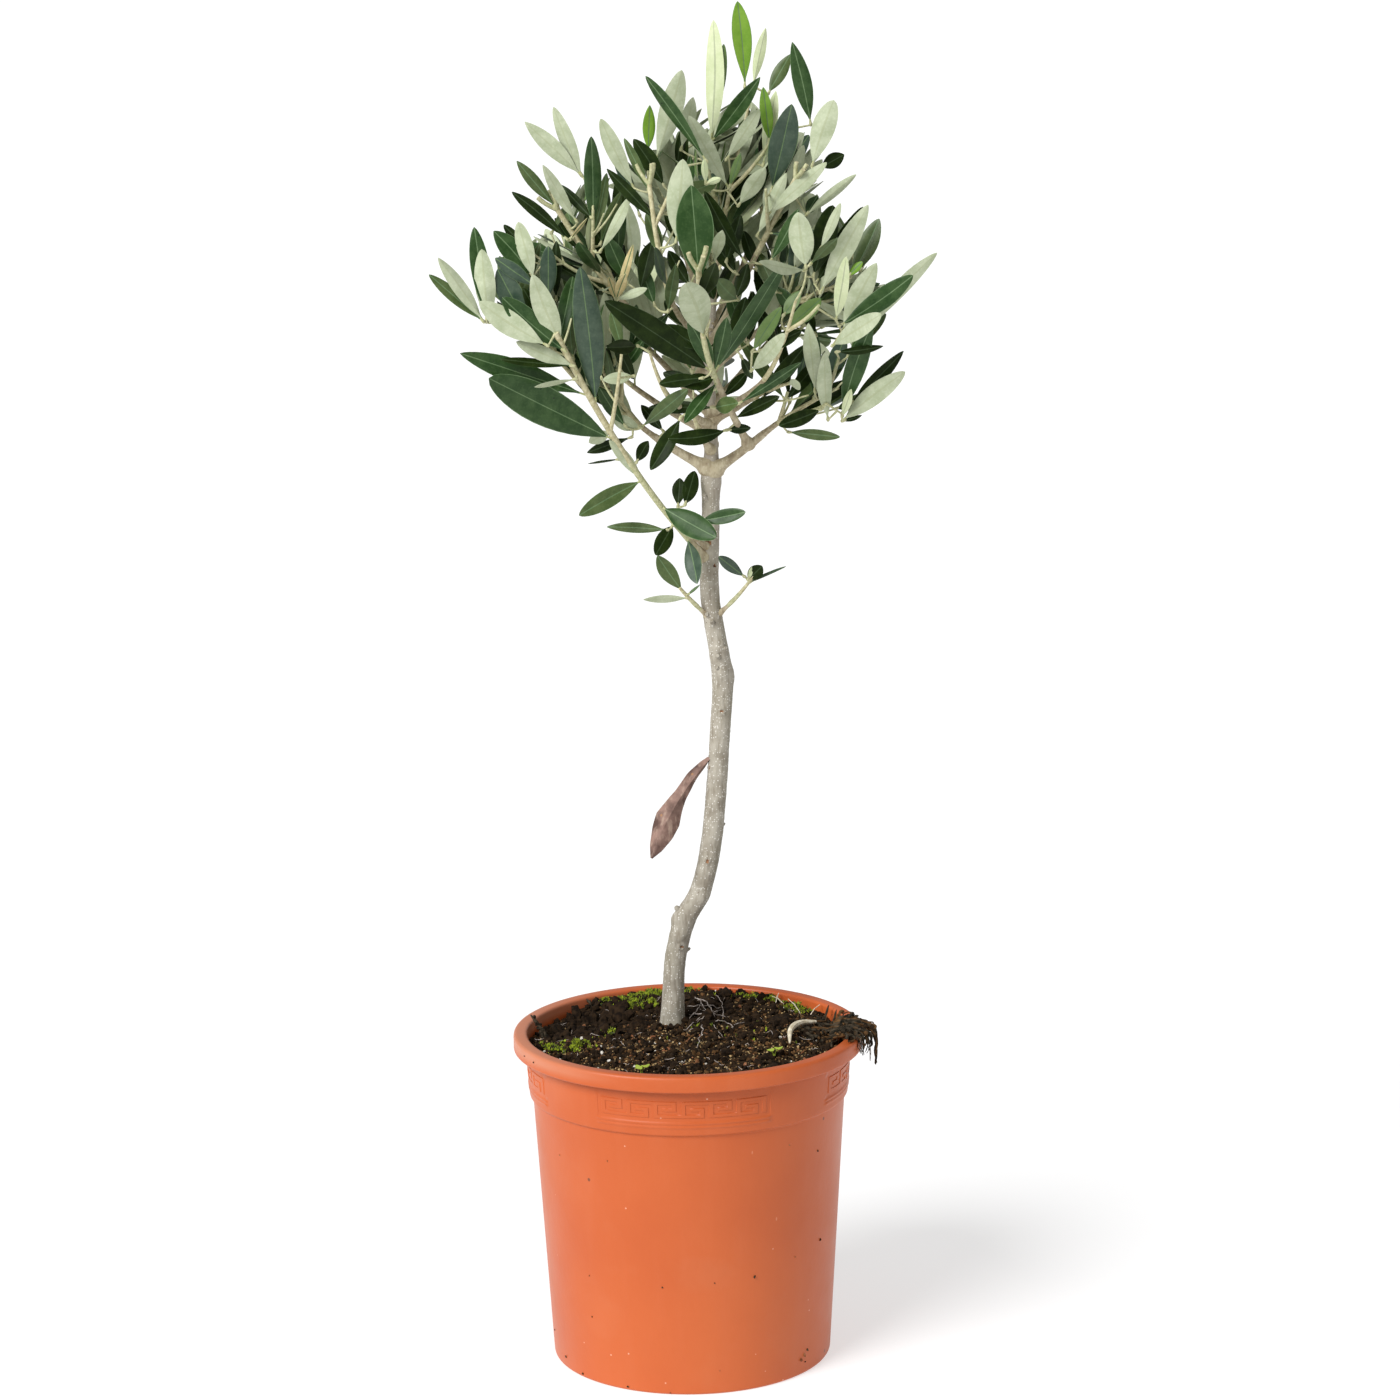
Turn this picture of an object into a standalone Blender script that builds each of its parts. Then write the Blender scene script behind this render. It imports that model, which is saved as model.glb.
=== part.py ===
"""A young olive tree, grown as a small standard with a loose round head, in a plastic nursery pot.

Metres, +Z up. The origin is the centre of the pot's flat underside, and -Y is the front.
The trunk stands on the soil. Boughs leave the trunk, each bough carries one mass of leafy twigs,
and each mass is grown by one seeded rule that keeps clear of whatever has grown before it.
"""

import math
import random

import bmesh
import bpy
import numpy as np
from mathutils import Matrix, Vector, noise
from mathutils.bvhtree import BVHTree

# Clearance between neighbouring solids
GAP = 0.0003

# Pot: a thin moulded shell with a turned-down lip, a collar under it and a tapered body
POT_HEIGHT = 0.1625
RIM_RADIUS = 0.0850
BASE_RADIUS = 0.0680
SHOULDER_RADIUS = 0.0760
SHOULDER_HEIGHT = 0.1310
COLLAR_FOOT_RADIUS = 0.0776
COLLAR_TOP_RADIUS = 0.0792
COLLAR_TOP = 0.1522
LIP_DROP = 0.0086
LIP_WALL = 0.0018
LIP_ROUND = 0.0022
RIDGE_HEIGHT = 0.0062
RIDGE = 0.0008
WALL = 0.0013
FLOOR = 0.0018
EDGE = 0.0004
TURNED_STEPS = 36

# Soil: a filled root ball, slightly mounded towards the trunk's foot
SOIL_EDGE = 0.1562
SOIL_MOUND = 0.0050
SOIL_ROUGHNESS = 0.0011
SOIL_CLODS = 60.0
SOIL_CRUMBS = 170.0
SOIL_CLEARANCE = 0.0004
SOIL_RINGS = 7
FOOT_PAD_RADIUS = 0.0115

# Trunk: its axis from the foot at soil level, round one kink, up to the leader's tip in the crown
TRUNK_AXIS = (
    (-0.0076, 0.014, 0.1620), (-0.0056, 0.014, 0.194), (-0.0005, 0.013, 0.214), (0.0072, 0.013, 0.229),
    (0.0128, 0.012, 0.254), (0.0172, 0.012, 0.303), (0.0186, 0.012, 0.336), (0.0136, 0.011, 0.373),
    (0.0141, 0.011, 0.406), (0.0150, 0.011, 0.449), (0.0143, 0.011, 0.485), (0.0170, 0.011, 0.516),
)
TRUNK_GIRTH = ((0.162, 0.0054), (0.230, 0.0051), (0.336, 0.0049), (0.430, 0.0042), (0.445, 0.0034),
               (0.485, 0.0026), (0.516, 0.0016))
ROOT_FLARE = 0.0008
FLARE_HEIGHT = 0.007
TRUNK_SIDES = 10
TRUNK_STEPS = 3

# Knots on the trunk: height, bearing in degrees from +X, swelling, reach along the bark
KNOTS = ((0.2155, 190, 0.0026, 0.0045), (0.3350, 20, 0.0012, 0.0060), (0.2760, 300, 0.0008, 0.0040),
         (0.3440, 240, 0.0010, 0.0050), (0.4300, 180, 0.0010, 0.0060), (0.4300, 0, 0.0010, 0.0060))

# Boughs: name, parent, height of the foot on the parent's axis, tip, radius at foot and tip
BOUGHS = (
    ("low_left", "trunk", 0.391, (0.003, 0.004, 0.403), 0.0021, 0.0015),
    ("left", "trunk", 0.435, (-0.012, 0.002, 0.452), 0.0027, 0.0017),
    ("right_low", "trunk", 0.434, (0.040, 0.000, 0.453), 0.0027, 0.0018),
    ("front", "right_low", 0.447, (0.017, -0.030, 0.483), 0.0019, 0.0014),
    ("front_left", "trunk", 0.456, (-0.003, -0.025, 0.472), 0.0019, 0.0014),
    ("front_low", "trunk", 0.444, (0.010, -0.018, 0.455), 0.0017, 0.0013),
    ("right_inner", "trunk", 0.458, (0.031, -0.004, 0.468), 0.0017, 0.0013),
    ("centre_right", "trunk", 0.462, (0.034, -0.020, 0.475), 0.0020, 0.0014),
    ("upper_left", "trunk", 0.478, (-0.018, -0.012, 0.509), 0.0019, 0.0014),
    ("inner_left", "trunk", 0.492, (0.001, -0.025, 0.511), 0.0015, 0.0012),
    ("top_left", "trunk", 0.500, (0.006, 0.020, 0.529), 0.0014, 0.0011),
    ("right_up", "trunk", 0.495, (0.032, 0.000, 0.527), 0.0015, 0.0012),
    ("top_right", "trunk", 0.503, (0.032, 0.030, 0.532), 0.0014, 0.0011),
    ("right", "trunk", 0.482, (0.041, 0.005, 0.504), 0.0018, 0.0013),
    ("back_left", "trunk", 0.463, (-0.004, 0.037, 0.479), 0.0020, 0.0014),
    ("back_right", "trunk", 0.466, (0.031, 0.037, 0.479), 0.0019, 0.0014),
    ("back_low", "trunk", 0.446, (0.017, 0.034, 0.455), 0.0020, 0.0014),
    ("back", "trunk", 0.480, (0.016, 0.038, 0.500), 0.0017, 0.0013),
    ("left_back", "trunk", 0.452, (-0.012, 0.026, 0.466), 0.0019, 0.0014),
    ("low_inner", "trunk", 0.397, (0.006, -0.002, 0.404), 0.0013, 0.0010),
    ("sprout_left", "trunk", 0.362, (0.007, 0.005, 0.370), 0.0011, 0.0009),
    ("sprout_right", "trunk", 0.363, (0.0235, 0.007, 0.371), 0.0011, 0.0009),
)
BOUGH_SIDES = 7
BOUGH_STEPS = 4
BOUGH_SAG = 0.05

# Masses of foliage: name, limb that carries it, tip of its stem, side shoots, mean leaf length, seed
MASSES = (
    ("low_left", "low_left", (-0.070, -0.045, 0.508), 4, 0.054, 31),
    ("left", "left", (-0.036, -0.012, 0.486), 4, 0.044, 2),
    ("right_low", "right_low", (0.080, -0.012, 0.478), 4, 0.047, 3),
    ("front", "front", (0.010, -0.062, 0.536), 3, 0.050, 4),
    ("front_left", "front_left", (-0.036, -0.064, 0.506), 3, 0.048, 5),
    ("front_low", "front_low", (-0.006, -0.055, 0.476), 2, 0.042, 6),
    ("right_inner", "right_inner", (0.052, -0.030, 0.480), 2, 0.044, 7),
    ("centre_right", "centre_right", (0.054, -0.055, 0.520), 3, 0.048, 8),
    ("upper_left", "upper_left", (-0.055, -0.028, 0.562), 4, 0.046, 9),
    ("inner_left", "inner_left", (-0.012, -0.045, 0.574), 3, 0.046, 10),
    ("top_left", "top_left", (-0.006, 0.022, 0.586), 3, 0.046, 11),
    ("top", "trunk", (0.035, 0.004, 0.608), 4, 0.048, 12),
    ("right_up", "right_up", (0.056, -0.018, 0.574), 3, 0.046, 13),
    ("top_right", "top_right", (0.048, 0.034, 0.588), 3, 0.046, 14),
    ("right", "right", (0.090, 0.000, 0.526), 4, 0.048, 15),
    ("back_left", "back_left", (-0.056, 0.074, 0.524), 4, 0.048, 16),
    ("back_right", "back_right", (0.072, 0.070, 0.520), 4, 0.048, 17),
    ("back_low", "back_low", (0.020, 0.080, 0.476), 3, 0.044, 18),
    ("back", "back", (0.014, 0.078, 0.562), 4, 0.048, 19),
    ("left_back", "left_back", (-0.066, 0.034, 0.514), 3, 0.046, 23),
    ("low_inner", "low_inner", (-0.022, -0.016, 0.422), 0, 0.032, 22),
    ("sprout_left", "sprout_left", (-0.004, -0.004, 0.384), 0, 0.024, 20),
    ("sprout_right", "sprout_right", (0.035, 0.004, 0.385), 0, 0.022, 21),
)
STEM_RADIUS = 0.0011
TWIG_TIP_RADIUS = 0.0005
TWIG_SIDES = 3
STEM_STEPS = 5
SHOOT_STEPS = 3

# Leaves: opposite pairs, each pair turned a right angle from the last
LEAF_SPACING = 0.0150
LEAF_WIDTH = 0.30
LEAF_THICKNESS = 0.020
LEAF_WIDEST = 0.45
LEAF_ROOT = 0.0005
PAIR_TURN = 90.0
LEAF_ANGLE = 48.0
TIP_ANGLE = 24.0
LENGTH_SPREAD = (0.86, 1.14)
WIDTH_SPREAD = (0.84, 1.12)
ANGLE_SPREAD = 9.0
ANGLE_FALL = 12.0
ROLL_SPREAD = 45.0
PAIR_SPREAD = 14.0
LEAF_LIFT = (0.05, 0.35)
SHORTEST_PAIR = 0.80
LONGEST_PAIR = 1.08
LAST_PAIR = 0.97

# Shoots: how they leave the stem, and their length as a share of it
STEM_STIFFNESS = 0.4
SHOOTS_FROM = 0.22
SHOOTS_TO = 0.78
SHOOT_TURN = 137.5
SHOOT_AHEAD = 0.80
SHOOT_ASIDE = 0.62
SHOOT_LIFT = 0.25
SHOOT_SHARE = (0.38, 0.52)
SHOOT_FALL = 0.35
LONGEST_SHOOT = 0.055
SHOOT_GIRTH = 0.75

# Room kept round twigs and leaves; a leaf that finds none is tried again, at last a smaller one
ROOM = 0.0006
TRIES = 7
FULL_SIZE_TRIES = 4
SMALLER = 0.78
JOINED_SHARE = 0.22

# Dead leaf that hangs from the trunk
DEAD_LEAF_HEIGHT = 0.2945
DEAD_LEAF_TIP = (-0.0165, -0.006, 0.2490)
DEAD_LEAF_SIDE = (-0.86, -0.50, 0.0)
DEAD_LEAF_BOW = (-0.006, -0.002, 0.004)
DEAD_LEAF_WIDTH = 0.0105
DEAD_LEAF_STALK = 0.16
DEAD_LEAF_STALK_WIDTH = 0.0014
DEAD_LEAF_BELLY = 1.7
DEAD_LEAF_FOLD = 0.55
DEAD_LEAF_TWIST = (20.0, 60.0)
DEAD_LEAF_THICKNESS = 0.0008
DEAD_LEAF_STEPS = 10


def clear_scene():
    """Removes whatever the file holds at the start."""
    for thing in list(bpy.data.objects):
        bpy.data.objects.remove(thing, do_unlink=True)


def new_collection(name):
    """An empty collection linked to the scene."""
    collection = bpy.data.collections.new(name)
    bpy.context.scene.collection.children.link(collection)
    return collection


def new_material(name, colour, roughness):
    """A plain non-metallic surface."""
    material = bpy.data.materials.new(name)
    material.use_nodes = True
    shader = material.node_tree.nodes["Principled BSDF"]
    shader.inputs["Base Color"].default_value = (*colour, 1.0)
    shader.inputs["Roughness"].default_value = roughness
    shader.inputs["Metallic"].default_value = 0.0
    return material


def new_object(name, mesh, material, collection):
    """An object with its material, linked to its collection."""
    thing = bpy.data.objects.new(name, mesh)
    if material is not None:
        mesh.materials.append(material)
    collection.objects.link(thing)
    return thing


def evaluated_mesh(thing):
    """The mesh that an object's modifiers make of it."""
    depsgraph = bpy.context.evaluated_depsgraph_get()
    return bpy.data.meshes.new_from_object(thing.evaluated_get(depsgraph))


def turned_object(name, profile, material, collection):
    """A body turned about Z from (radius, height) points: up its inner side, down its outer side."""
    mesh = bpy.data.meshes.new(name)
    points = [(radius, 0.0, height) for radius, height in profile]
    edges = [(i, i + 1) for i in range(len(points) - 1)]
    mesh.from_pydata(points, edges, [])
    thing = new_object(name, mesh, material, collection)
    screw = thing.modifiers.new("turn", "SCREW")
    screw.axis = "Z"
    screw.steps = TURNED_STEPS
    screw.render_steps = TURNED_STEPS
    screw.use_merge_vertices = True
    screw.merge_threshold = 0.00001
    screw.use_smooth_shade = True
    return thing


def inner_wall():
    """The pot's inner side, from its floor up to the foot of the lip."""
    return (
        (BASE_RADIUS - WALL - 2 * EDGE, FLOOR),
        (BASE_RADIUS - WALL, FLOOR + 2 * EDGE),
        (SHOULDER_RADIUS - WALL, SHOULDER_HEIGHT - 5 * EDGE),
        (COLLAR_FOOT_RADIUS - WALL, SHOULDER_HEIGHT + EDGE),
        (COLLAR_TOP_RADIUS - WALL, COLLAR_TOP),
    )


def pot_profile():
    """The pot's wall from the centre of its floor, over the lip, to the centre of its underside."""
    lip_foot = POT_HEIGHT - LIP_DROP
    ridge = SHOULDER_HEIGHT + RIDGE_HEIGHT
    return (
        (0.0, FLOOR),
        *inner_wall(),
        (COLLAR_TOP_RADIUS - WALL + EDGE, POT_HEIGHT - LIP_ROUND),
        (COLLAR_TOP_RADIUS + EDGE, POT_HEIGHT - EDGE),
        (COLLAR_TOP_RADIUS + LIP_ROUND, POT_HEIGHT),
        (RIM_RADIUS - LIP_WALL, POT_HEIGHT - EDGE),
        (RIM_RADIUS - EDGE, POT_HEIGHT - LIP_ROUND),
        (RIM_RADIUS, POT_HEIGHT - 2 * LIP_ROUND),
        (RIM_RADIUS - EDGE, lip_foot + EDGE),
        (RIM_RADIUS - 2 * EDGE, lip_foot),
        (RIM_RADIUS - LIP_WALL, lip_foot + EDGE),
        (RIM_RADIUS - LIP_WALL - EDGE, lip_foot + 2 * LIP_ROUND - EDGE),
        (COLLAR_TOP_RADIUS + 2 * EDGE, lip_foot + 2 * LIP_ROUND),
        (COLLAR_TOP_RADIUS, lip_foot + LIP_ROUND),
        (COLLAR_TOP_RADIUS, COLLAR_TOP - 2 * EDGE),
        (COLLAR_FOOT_RADIUS + EDGE, ridge + RIDGE),
        (COLLAR_FOOT_RADIUS + RIDGE, ridge),
        (COLLAR_FOOT_RADIUS + EDGE, ridge - RIDGE),
        (COLLAR_FOOT_RADIUS, SHOULDER_HEIGHT + 2 * EDGE),
        (SHOULDER_RADIUS + EDGE, SHOULDER_HEIGHT),
        (SHOULDER_RADIUS, SHOULDER_HEIGHT - 2 * EDGE),
        (BASE_RADIUS, LIP_ROUND),
        (BASE_RADIUS - EDGE, 2 * EDGE),
        (BASE_RADIUS - 3 * EDGE, 0.0),
        (0.0, 0.0),
    )


def soil_top(x, y):
    """Height of the soil: a low mound, roughened, and flat under the trunk's foot."""
    foot = Vector(TRUNK_AXIS[0])
    from_axis = math.hypot(x, y) / COLLAR_TOP_RADIUS
    mound = SOIL_EDGE + SOIL_MOUND * max(0.0, 1.0 - from_axis ** 2)
    rough = SOIL_ROUGHNESS * noise.noise(Vector((x, y, 0.0)) * SOIL_CLODS)
    rough += 0.5 * SOIL_ROUGHNESS * noise.noise(Vector((x, y, 0.5)) * SOIL_CRUMBS)
    from_foot = math.hypot(x - foot.x, y - foot.y)
    blend = min(1.0, max(0.0, (from_foot - FOOT_PAD_RADIUS) / FOOT_PAD_RADIUS))
    pad = foot.z - GAP
    return pad + (mound + rough - pad) * blend


def build_soil(material, collection):
    """The root ball: it fills the pot to just under the lip."""
    side = [(radius - SOIL_CLEARANCE, height + GAP) for radius, height in reversed(inner_wall())]
    top = [(side[0][0] * ring / SOIL_RINGS, SOIL_EDGE) for ring in range(SOIL_RINGS + 1)]
    profile = top + side + [(0.0, FLOOR + GAP)]
    blank = turned_object("soil_blank", profile, material, collection)
    mesh = evaluated_mesh(blank)
    bpy.data.objects.remove(blank, do_unlink=True)
    for vertex in mesh.vertices:
        if vertex.co.z > COLLAR_TOP + 2 * GAP:
            vertex.co.z = soil_top(vertex.co.x, vertex.co.y)
    soil = bpy.data.objects.new("soil", mesh)
    collection.objects.link(soil)


def smooth_path(points, steps):
    """A smooth curve through the points, cut into this many steps between two of them."""
    knots = [Vector(point) for point in points]
    knots = [2 * knots[0] - knots[1]] + knots + [2 * knots[-1] - knots[-2]]
    path = []
    for a, b, c, d in zip(knots, knots[1:], knots[2:], knots[3:]):
        for step in range(steps):
            t = step / steps
            curved = (2 * a - 5 * b + 4 * c - d) * t * t + (3 * b - a - 3 * c + d) * t ** 3
            path.append(0.5 * (2 * b + (c - a) * t + curved))
    path.append(knots[-2])
    return path


def bent_path(start, control, end, steps):
    """An even bend from start to end, drawn towards the control point."""
    path = []
    for step in range(steps + 1):
        t = step / steps
        path.append(start * (1 - t) ** 2 + control * 2 * t * (1 - t) + end * t ** 2)
    return path


def tube(path, radii, sides):
    """Points and faces of a closed limb: rings along the path, carried on without twist."""
    points = []
    side = None
    for i, spot in enumerate(path):
        ahead = (path[min(i + 1, len(path) - 1)] - path[max(i - 1, 0)]).normalized()
        side = ahead.orthogonal() if side is None else side
        side = (side - ahead * side.dot(ahead)).normalized()
        across = ahead.cross(side)
        for k in range(sides):
            turn = 2 * math.pi * k / sides
            points.append(spot + (side * math.cos(turn) + across * math.sin(turn)) * radii[i])
    faces = []
    for i in range(len(path) - 1):
        for k in range(sides):
            a = i * sides + k
            b = i * sides + (k + 1) % sides
            faces.append((a, b, b + sides, a + sides))
    last = (len(path) - 1) * sides
    faces.append(tuple(reversed(range(sides))))
    faces.append(tuple(range(last, last + sides)))
    return points, faces


def mesh_of(name, points, faces):
    """A smooth-shaded mesh from points and faces."""
    mesh = bpy.data.meshes.new(name)
    mesh.from_pydata(points, [], faces)
    mesh.shade_smooth()
    mesh.set_sharp_from_angle(angle=math.radians(50))
    return mesh


def trunk_girth(height):
    """The trunk's radius at a height."""
    heights, girths = zip(*TRUNK_GIRTH)
    return float(np.interp(height, heights, girths))


def trunk_shape(extra):
    """The trunk's points and faces, swollen by extra all over."""
    path = smooth_path(TRUNK_AXIS, TRUNK_STEPS)
    radii = []
    for spot in path:
        flare = ROOT_FLARE * math.exp(-(spot.z - path[0].z) / FLARE_HEIGHT)
        radii.append(trunk_girth(spot.z) + flare + extra)
    points, faces = tube(path, radii, TRUNK_SIDES)
    for i, spot in enumerate(path):
        for k in range(TRUNK_SIDES):
            outward = (points[i * TRUNK_SIDES + k] - spot).normalized()
            for height, bearing, swell, reach in KNOTS:
                facing = Vector((math.cos(math.radians(bearing)), math.sin(math.radians(bearing)), 0))
                near = math.exp(-((spot.z - height) / reach) ** 2) * max(0.0, outward.dot(facing)) ** 3
                points[i * TRUNK_SIDES + k] += outward * swell * near
    for k in range(TRUNK_SIDES):
        points[k].z = path[0].z
    return points, faces


def axis_point(path, height):
    """The point of a limb's axis nearest to a height."""
    for low, high in zip(path, path[1:]):
        if low.z <= height <= high.z:
            return low.lerp(high, (height - low.z) / (high.z - low.z))
    return min(path, key=lambda spot: abs(spot.z - height))


def bough_paths():
    """Each limb's axis and radii by name, the trunk's too."""
    trunk = smooth_path(TRUNK_AXIS, TRUNK_STEPS)
    limbs = {"trunk": (trunk, [TRUNK_GIRTH[-1][1]] * len(trunk))}
    for name, parent, height, tip, foot_radius, tip_radius in BOUGHS:
        start = axis_point(limbs[parent][0], height)
        end = Vector(tip)
        sag = Vector((0, 0, -BOUGH_SAG * (end - start).length))
        path = bent_path(start, start.lerp(end, 0.5) + sag, end, BOUGH_STEPS)
        radii = [foot_radius + (tip_radius - foot_radius) * i / BOUGH_STEPS
                 for i in range(BOUGH_STEPS + 1)]
        limbs[name] = (path, radii)
    return limbs


def build_limbs(limbs, material, collection, cutters):
    """The trunk and its boughs; each bough's foot is cut to its parent's bark, GAP clear of it."""
    points, faces = trunk_shape(0.0)
    new_object("trunk", mesh_of("trunk", points, faces), material, collection)
    sleeves = {"trunk": trunk_shape(GAP)}
    for name, parent, *_ in BOUGHS:
        path, radii = limbs[name]
        points, faces = tube(path, radii, BOUGH_SIDES)
        bough = new_object(f"bough_{name}", mesh_of(name, points, faces), material, collection)
        sleeves[name] = tube(path, [radius + GAP for radius in radii], BOUGH_SIDES)
        cutter_name = f"sleeve_{parent}"
        cutter = bpy.data.objects.get(cutter_name)
        if cutter is None:
            cutter = new_object(cutter_name, mesh_of(cutter_name, *sleeves[parent]), None, cutters)
            cutter.hide_render = True
            cutter.display_type = "WIRE"
        foot = bough.modifiers.new("foot", "BOOLEAN")
        foot.operation = "DIFFERENCE"
        foot.object = cutter


class Thicket:
    """All that has grown so far, as small closed shapes to keep clear of."""

    def __init__(self):
        self.shapes = []

    def add(self, mass, twig, points, faces):
        """Notes a shape, the mass it belongs to and its twig."""
        centre = sum(points, Vector()) / len(points)
        reach = max((point - centre).length for point in points)
        tree = BVHTree.FromPolygons(points, faces)
        self.shapes.append((mass, twig, centre, reach, tree))

    def free(self, points, faces, skip):
        """True where the shape crosses nothing, leaving out what skip(mass, twig) names."""
        centre = sum(points, Vector()) / len(points)
        reach = max((point - centre).length for point in points)
        tree = BVHTree.FromPolygons(points, faces)
        for mass, twig, other, other_reach, other_tree in self.shapes:
            if (other - centre).length < reach + other_reach and not skip(mass, twig):
                if tree.overlap(other_tree):
                    return False
        return True


def leaf_mesh():
    """A leaf one unit long, wide and thick: along +Y, flat above, with a keel below for its rib."""
    bm = bmesh.new()
    bmesh.ops.create_uvsphere(bm, u_segments=3, v_segments=2, radius=0.5)
    for vertex in bm.verts:
        along = 0.5 + vertex.co.z
        if 0.1 < along < 0.9:
            keel = -(vertex.co.x + 0.25) / 0.75
            vertex.co = Vector((vertex.co.y / math.cos(math.radians(30)), LEAF_WIDEST, keel))
        else:
            vertex.co = Vector((0.0, along, 0.0))
    bmesh.ops.recalc_face_normals(bm, faces=bm.faces)
    mesh = bpy.data.meshes.new("leaf")
    bm.to_mesh(mesh)
    bm.free()
    return mesh


def leaf_placement(root, out, face):
    """A leaf's turn and place: +Y along the leaf, +Z out of its upper side."""
    across = out.cross(face).normalized()
    upper = across.cross(out).normalized()
    turn = Matrix((across, out, upper)).transposed().to_4x4()
    return Matrix.Translation(root) @ turn


def stretched(placement, start, length, width, room=0.0):
    """The matrix that makes the unit leaf this long and wide, set off by start, with room round it."""
    thickness = length * LEAF_THICKNESS
    sizes = Matrix.Diagonal((width + 2 * room, length, thickness + 2 * room, 1.0))
    return placement @ Matrix.Translation((0.0, start, room)) @ sizes


def grow_shoot(thicket, mass, twig, path, radii, own_bough):
    """Notes a side shoot in the thicket if it is clear of all other masses, twigs and limbs."""
    wide = [radius + ROOM for radius in radii]
    points, faces = tube(path, wide, TWIG_SIDES)
    if not thicket.free(points, faces, lambda m, t: m in (mass, own_bough)):
        return False
    points, faces = tube(path[1:], wide[1:], TWIG_SIDES)
    if not thicket.free(points, faces, lambda m, t: m != mass):
        return False
    thicket.add(mass, twig, *tube(path, radii, TWIG_SIDES))
    return True


def grow_leaf(thicket, unit, mass, twig, root, ahead, side, angle, length, rng):
    """The placement and size of one leaf that has room, or None."""
    corners, faces = unit
    for attempt in range(TRIES):
        lean = math.radians(angle + rng.uniform(-ANGLE_SPREAD, ANGLE_SPREAD) * (1 + 0.5 * attempt))
        out = (ahead * math.cos(lean) + side * math.sin(lean)).normalized()
        out = (out + Vector((0, 0, rng.uniform(*LEAF_LIFT)))).normalized()
        face = ahead + Vector((0, 0, 0.5))
        roll = Matrix.Rotation(math.radians(rng.uniform(-ROLL_SPREAD, ROLL_SPREAD)), 3, out)
        size = length * rng.uniform(*LENGTH_SPREAD) * (1.0 if attempt < FULL_SIZE_TRIES else SMALLER)
        width = size * LEAF_WIDTH * rng.uniform(*WIDTH_SPREAD)
        placement = leaf_placement(root, out, roll @ face)
        whole = stretched(placement, -LEAF_ROOT, size, width, ROOM)
        points = [whole @ corner for corner in corners]
        if not thicket.free(points, faces, lambda m, t: m == mass):
            continue
        outer = stretched(placement, JOINED_SHARE * size, (1 - JOINED_SHARE) * size, width, ROOM)
        points = [outer @ corner for corner in corners]
        if not thicket.free(points, faces, lambda m, t: m != mass or t == twig):
            continue
        true = stretched(placement, -LEAF_ROOT, size, width)
        thicket.add(mass, twig + 1000, [true @ corner for corner in corners], faces)
        return placement, size, width
    return None


def dress_twig(thicket, unit, mass, twig, path, turn, length, rng):
    """Opposite pairs of leaves along a twig, with a close pair at its tip."""
    ends = [Vector(spot) for spot in path]
    steps = [(b - a).length for a, b in zip(ends, ends[1:])]
    whole = sum(steps)
    pairs = max(2, round(whole / LEAF_SPACING))
    leaves = []
    side = None
    for pair in range(1, pairs + 1):
        t = pair / pairs * LAST_PAIR
        place = t * (len(ends) - 1)
        low = min(int(place), len(ends) - 2)
        root = ends[low].lerp(ends[low + 1], place - low)
        ahead = (ends[low + 1] - ends[low]).normalized()
        side = ahead.orthogonal() if side is None else side
        side = (side - ahead * side.dot(ahead)).normalized()
        twist = turn + PAIR_TURN * pair + rng.uniform(-PAIR_SPREAD, PAIR_SPREAD)
        swing = Matrix.Rotation(math.radians(twist), 3, ahead)
        angle = TIP_ANGLE if pair == pairs else LEAF_ANGLE - ANGLE_FALL * t
        middle = math.sin(math.pi * min(1.0, t + 0.15))
        full = SHORTEST_PAIR + (LONGEST_PAIR - SHORTEST_PAIR) * middle
        for hand in (1, -1):
            leaf = grow_leaf(thicket, unit, mass, twig, root, ahead, swing @ side * hand,
                             angle, length * full, rng)
            if leaf is not None:
                leaves.append(leaf)
    return leaves


def stem_path(limbs, bough, tip):
    """A mass's stem: it goes on from its bough's tip, GAP clear, and bends towards its own tip."""
    path = limbs[bough][0]
    ahead = (path[-1] - path[-2]).normalized()
    start = path[-1] + ahead * GAP
    reach = (Vector(tip) - start).length
    return bent_path(start, start + ahead * STEM_STIFFNESS * reach, Vector(tip), STEM_STEPS)


def shoot_path(stem, order, count, rng):
    """A side shoot: it leaves the stem at a slant and turns up towards the light."""
    t = SHOOTS_FROM + (SHOOTS_TO - SHOOTS_FROM) * order / max(1, count - 1)
    place = t * (len(stem) - 1)
    low = min(int(place), len(stem) - 2)
    root = stem[low].lerp(stem[low + 1], place - low)
    ahead = (stem[low + 1] - stem[low]).normalized()
    turn = Matrix.Rotation(math.radians(SHOOT_TURN * order + rng.uniform(20, 60)), 3, ahead)
    side = turn @ ahead.orthogonal().normalized()
    whole = sum((b - a).length for a, b in zip(stem, stem[1:]))
    length = min(LONGEST_SHOOT, whole * rng.uniform(*SHOOT_SHARE)) * (1.1 - SHOOT_FALL * t)
    out = (ahead * SHOOT_AHEAD + side * SHOOT_ASIDE).normalized()
    end = root + (out + Vector((0, 0, SHOOT_LIFT))).normalized() * length
    return bent_path(root, root + out * length * 0.5, end, SHOOT_STEPS)


def tapered(radius, steps):
    """Radii that fall evenly from a twig's foot to its tip."""
    return [radius + (TWIG_TIP_RADIUS - radius) * i / steps for i in range(steps + 1)]


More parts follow.
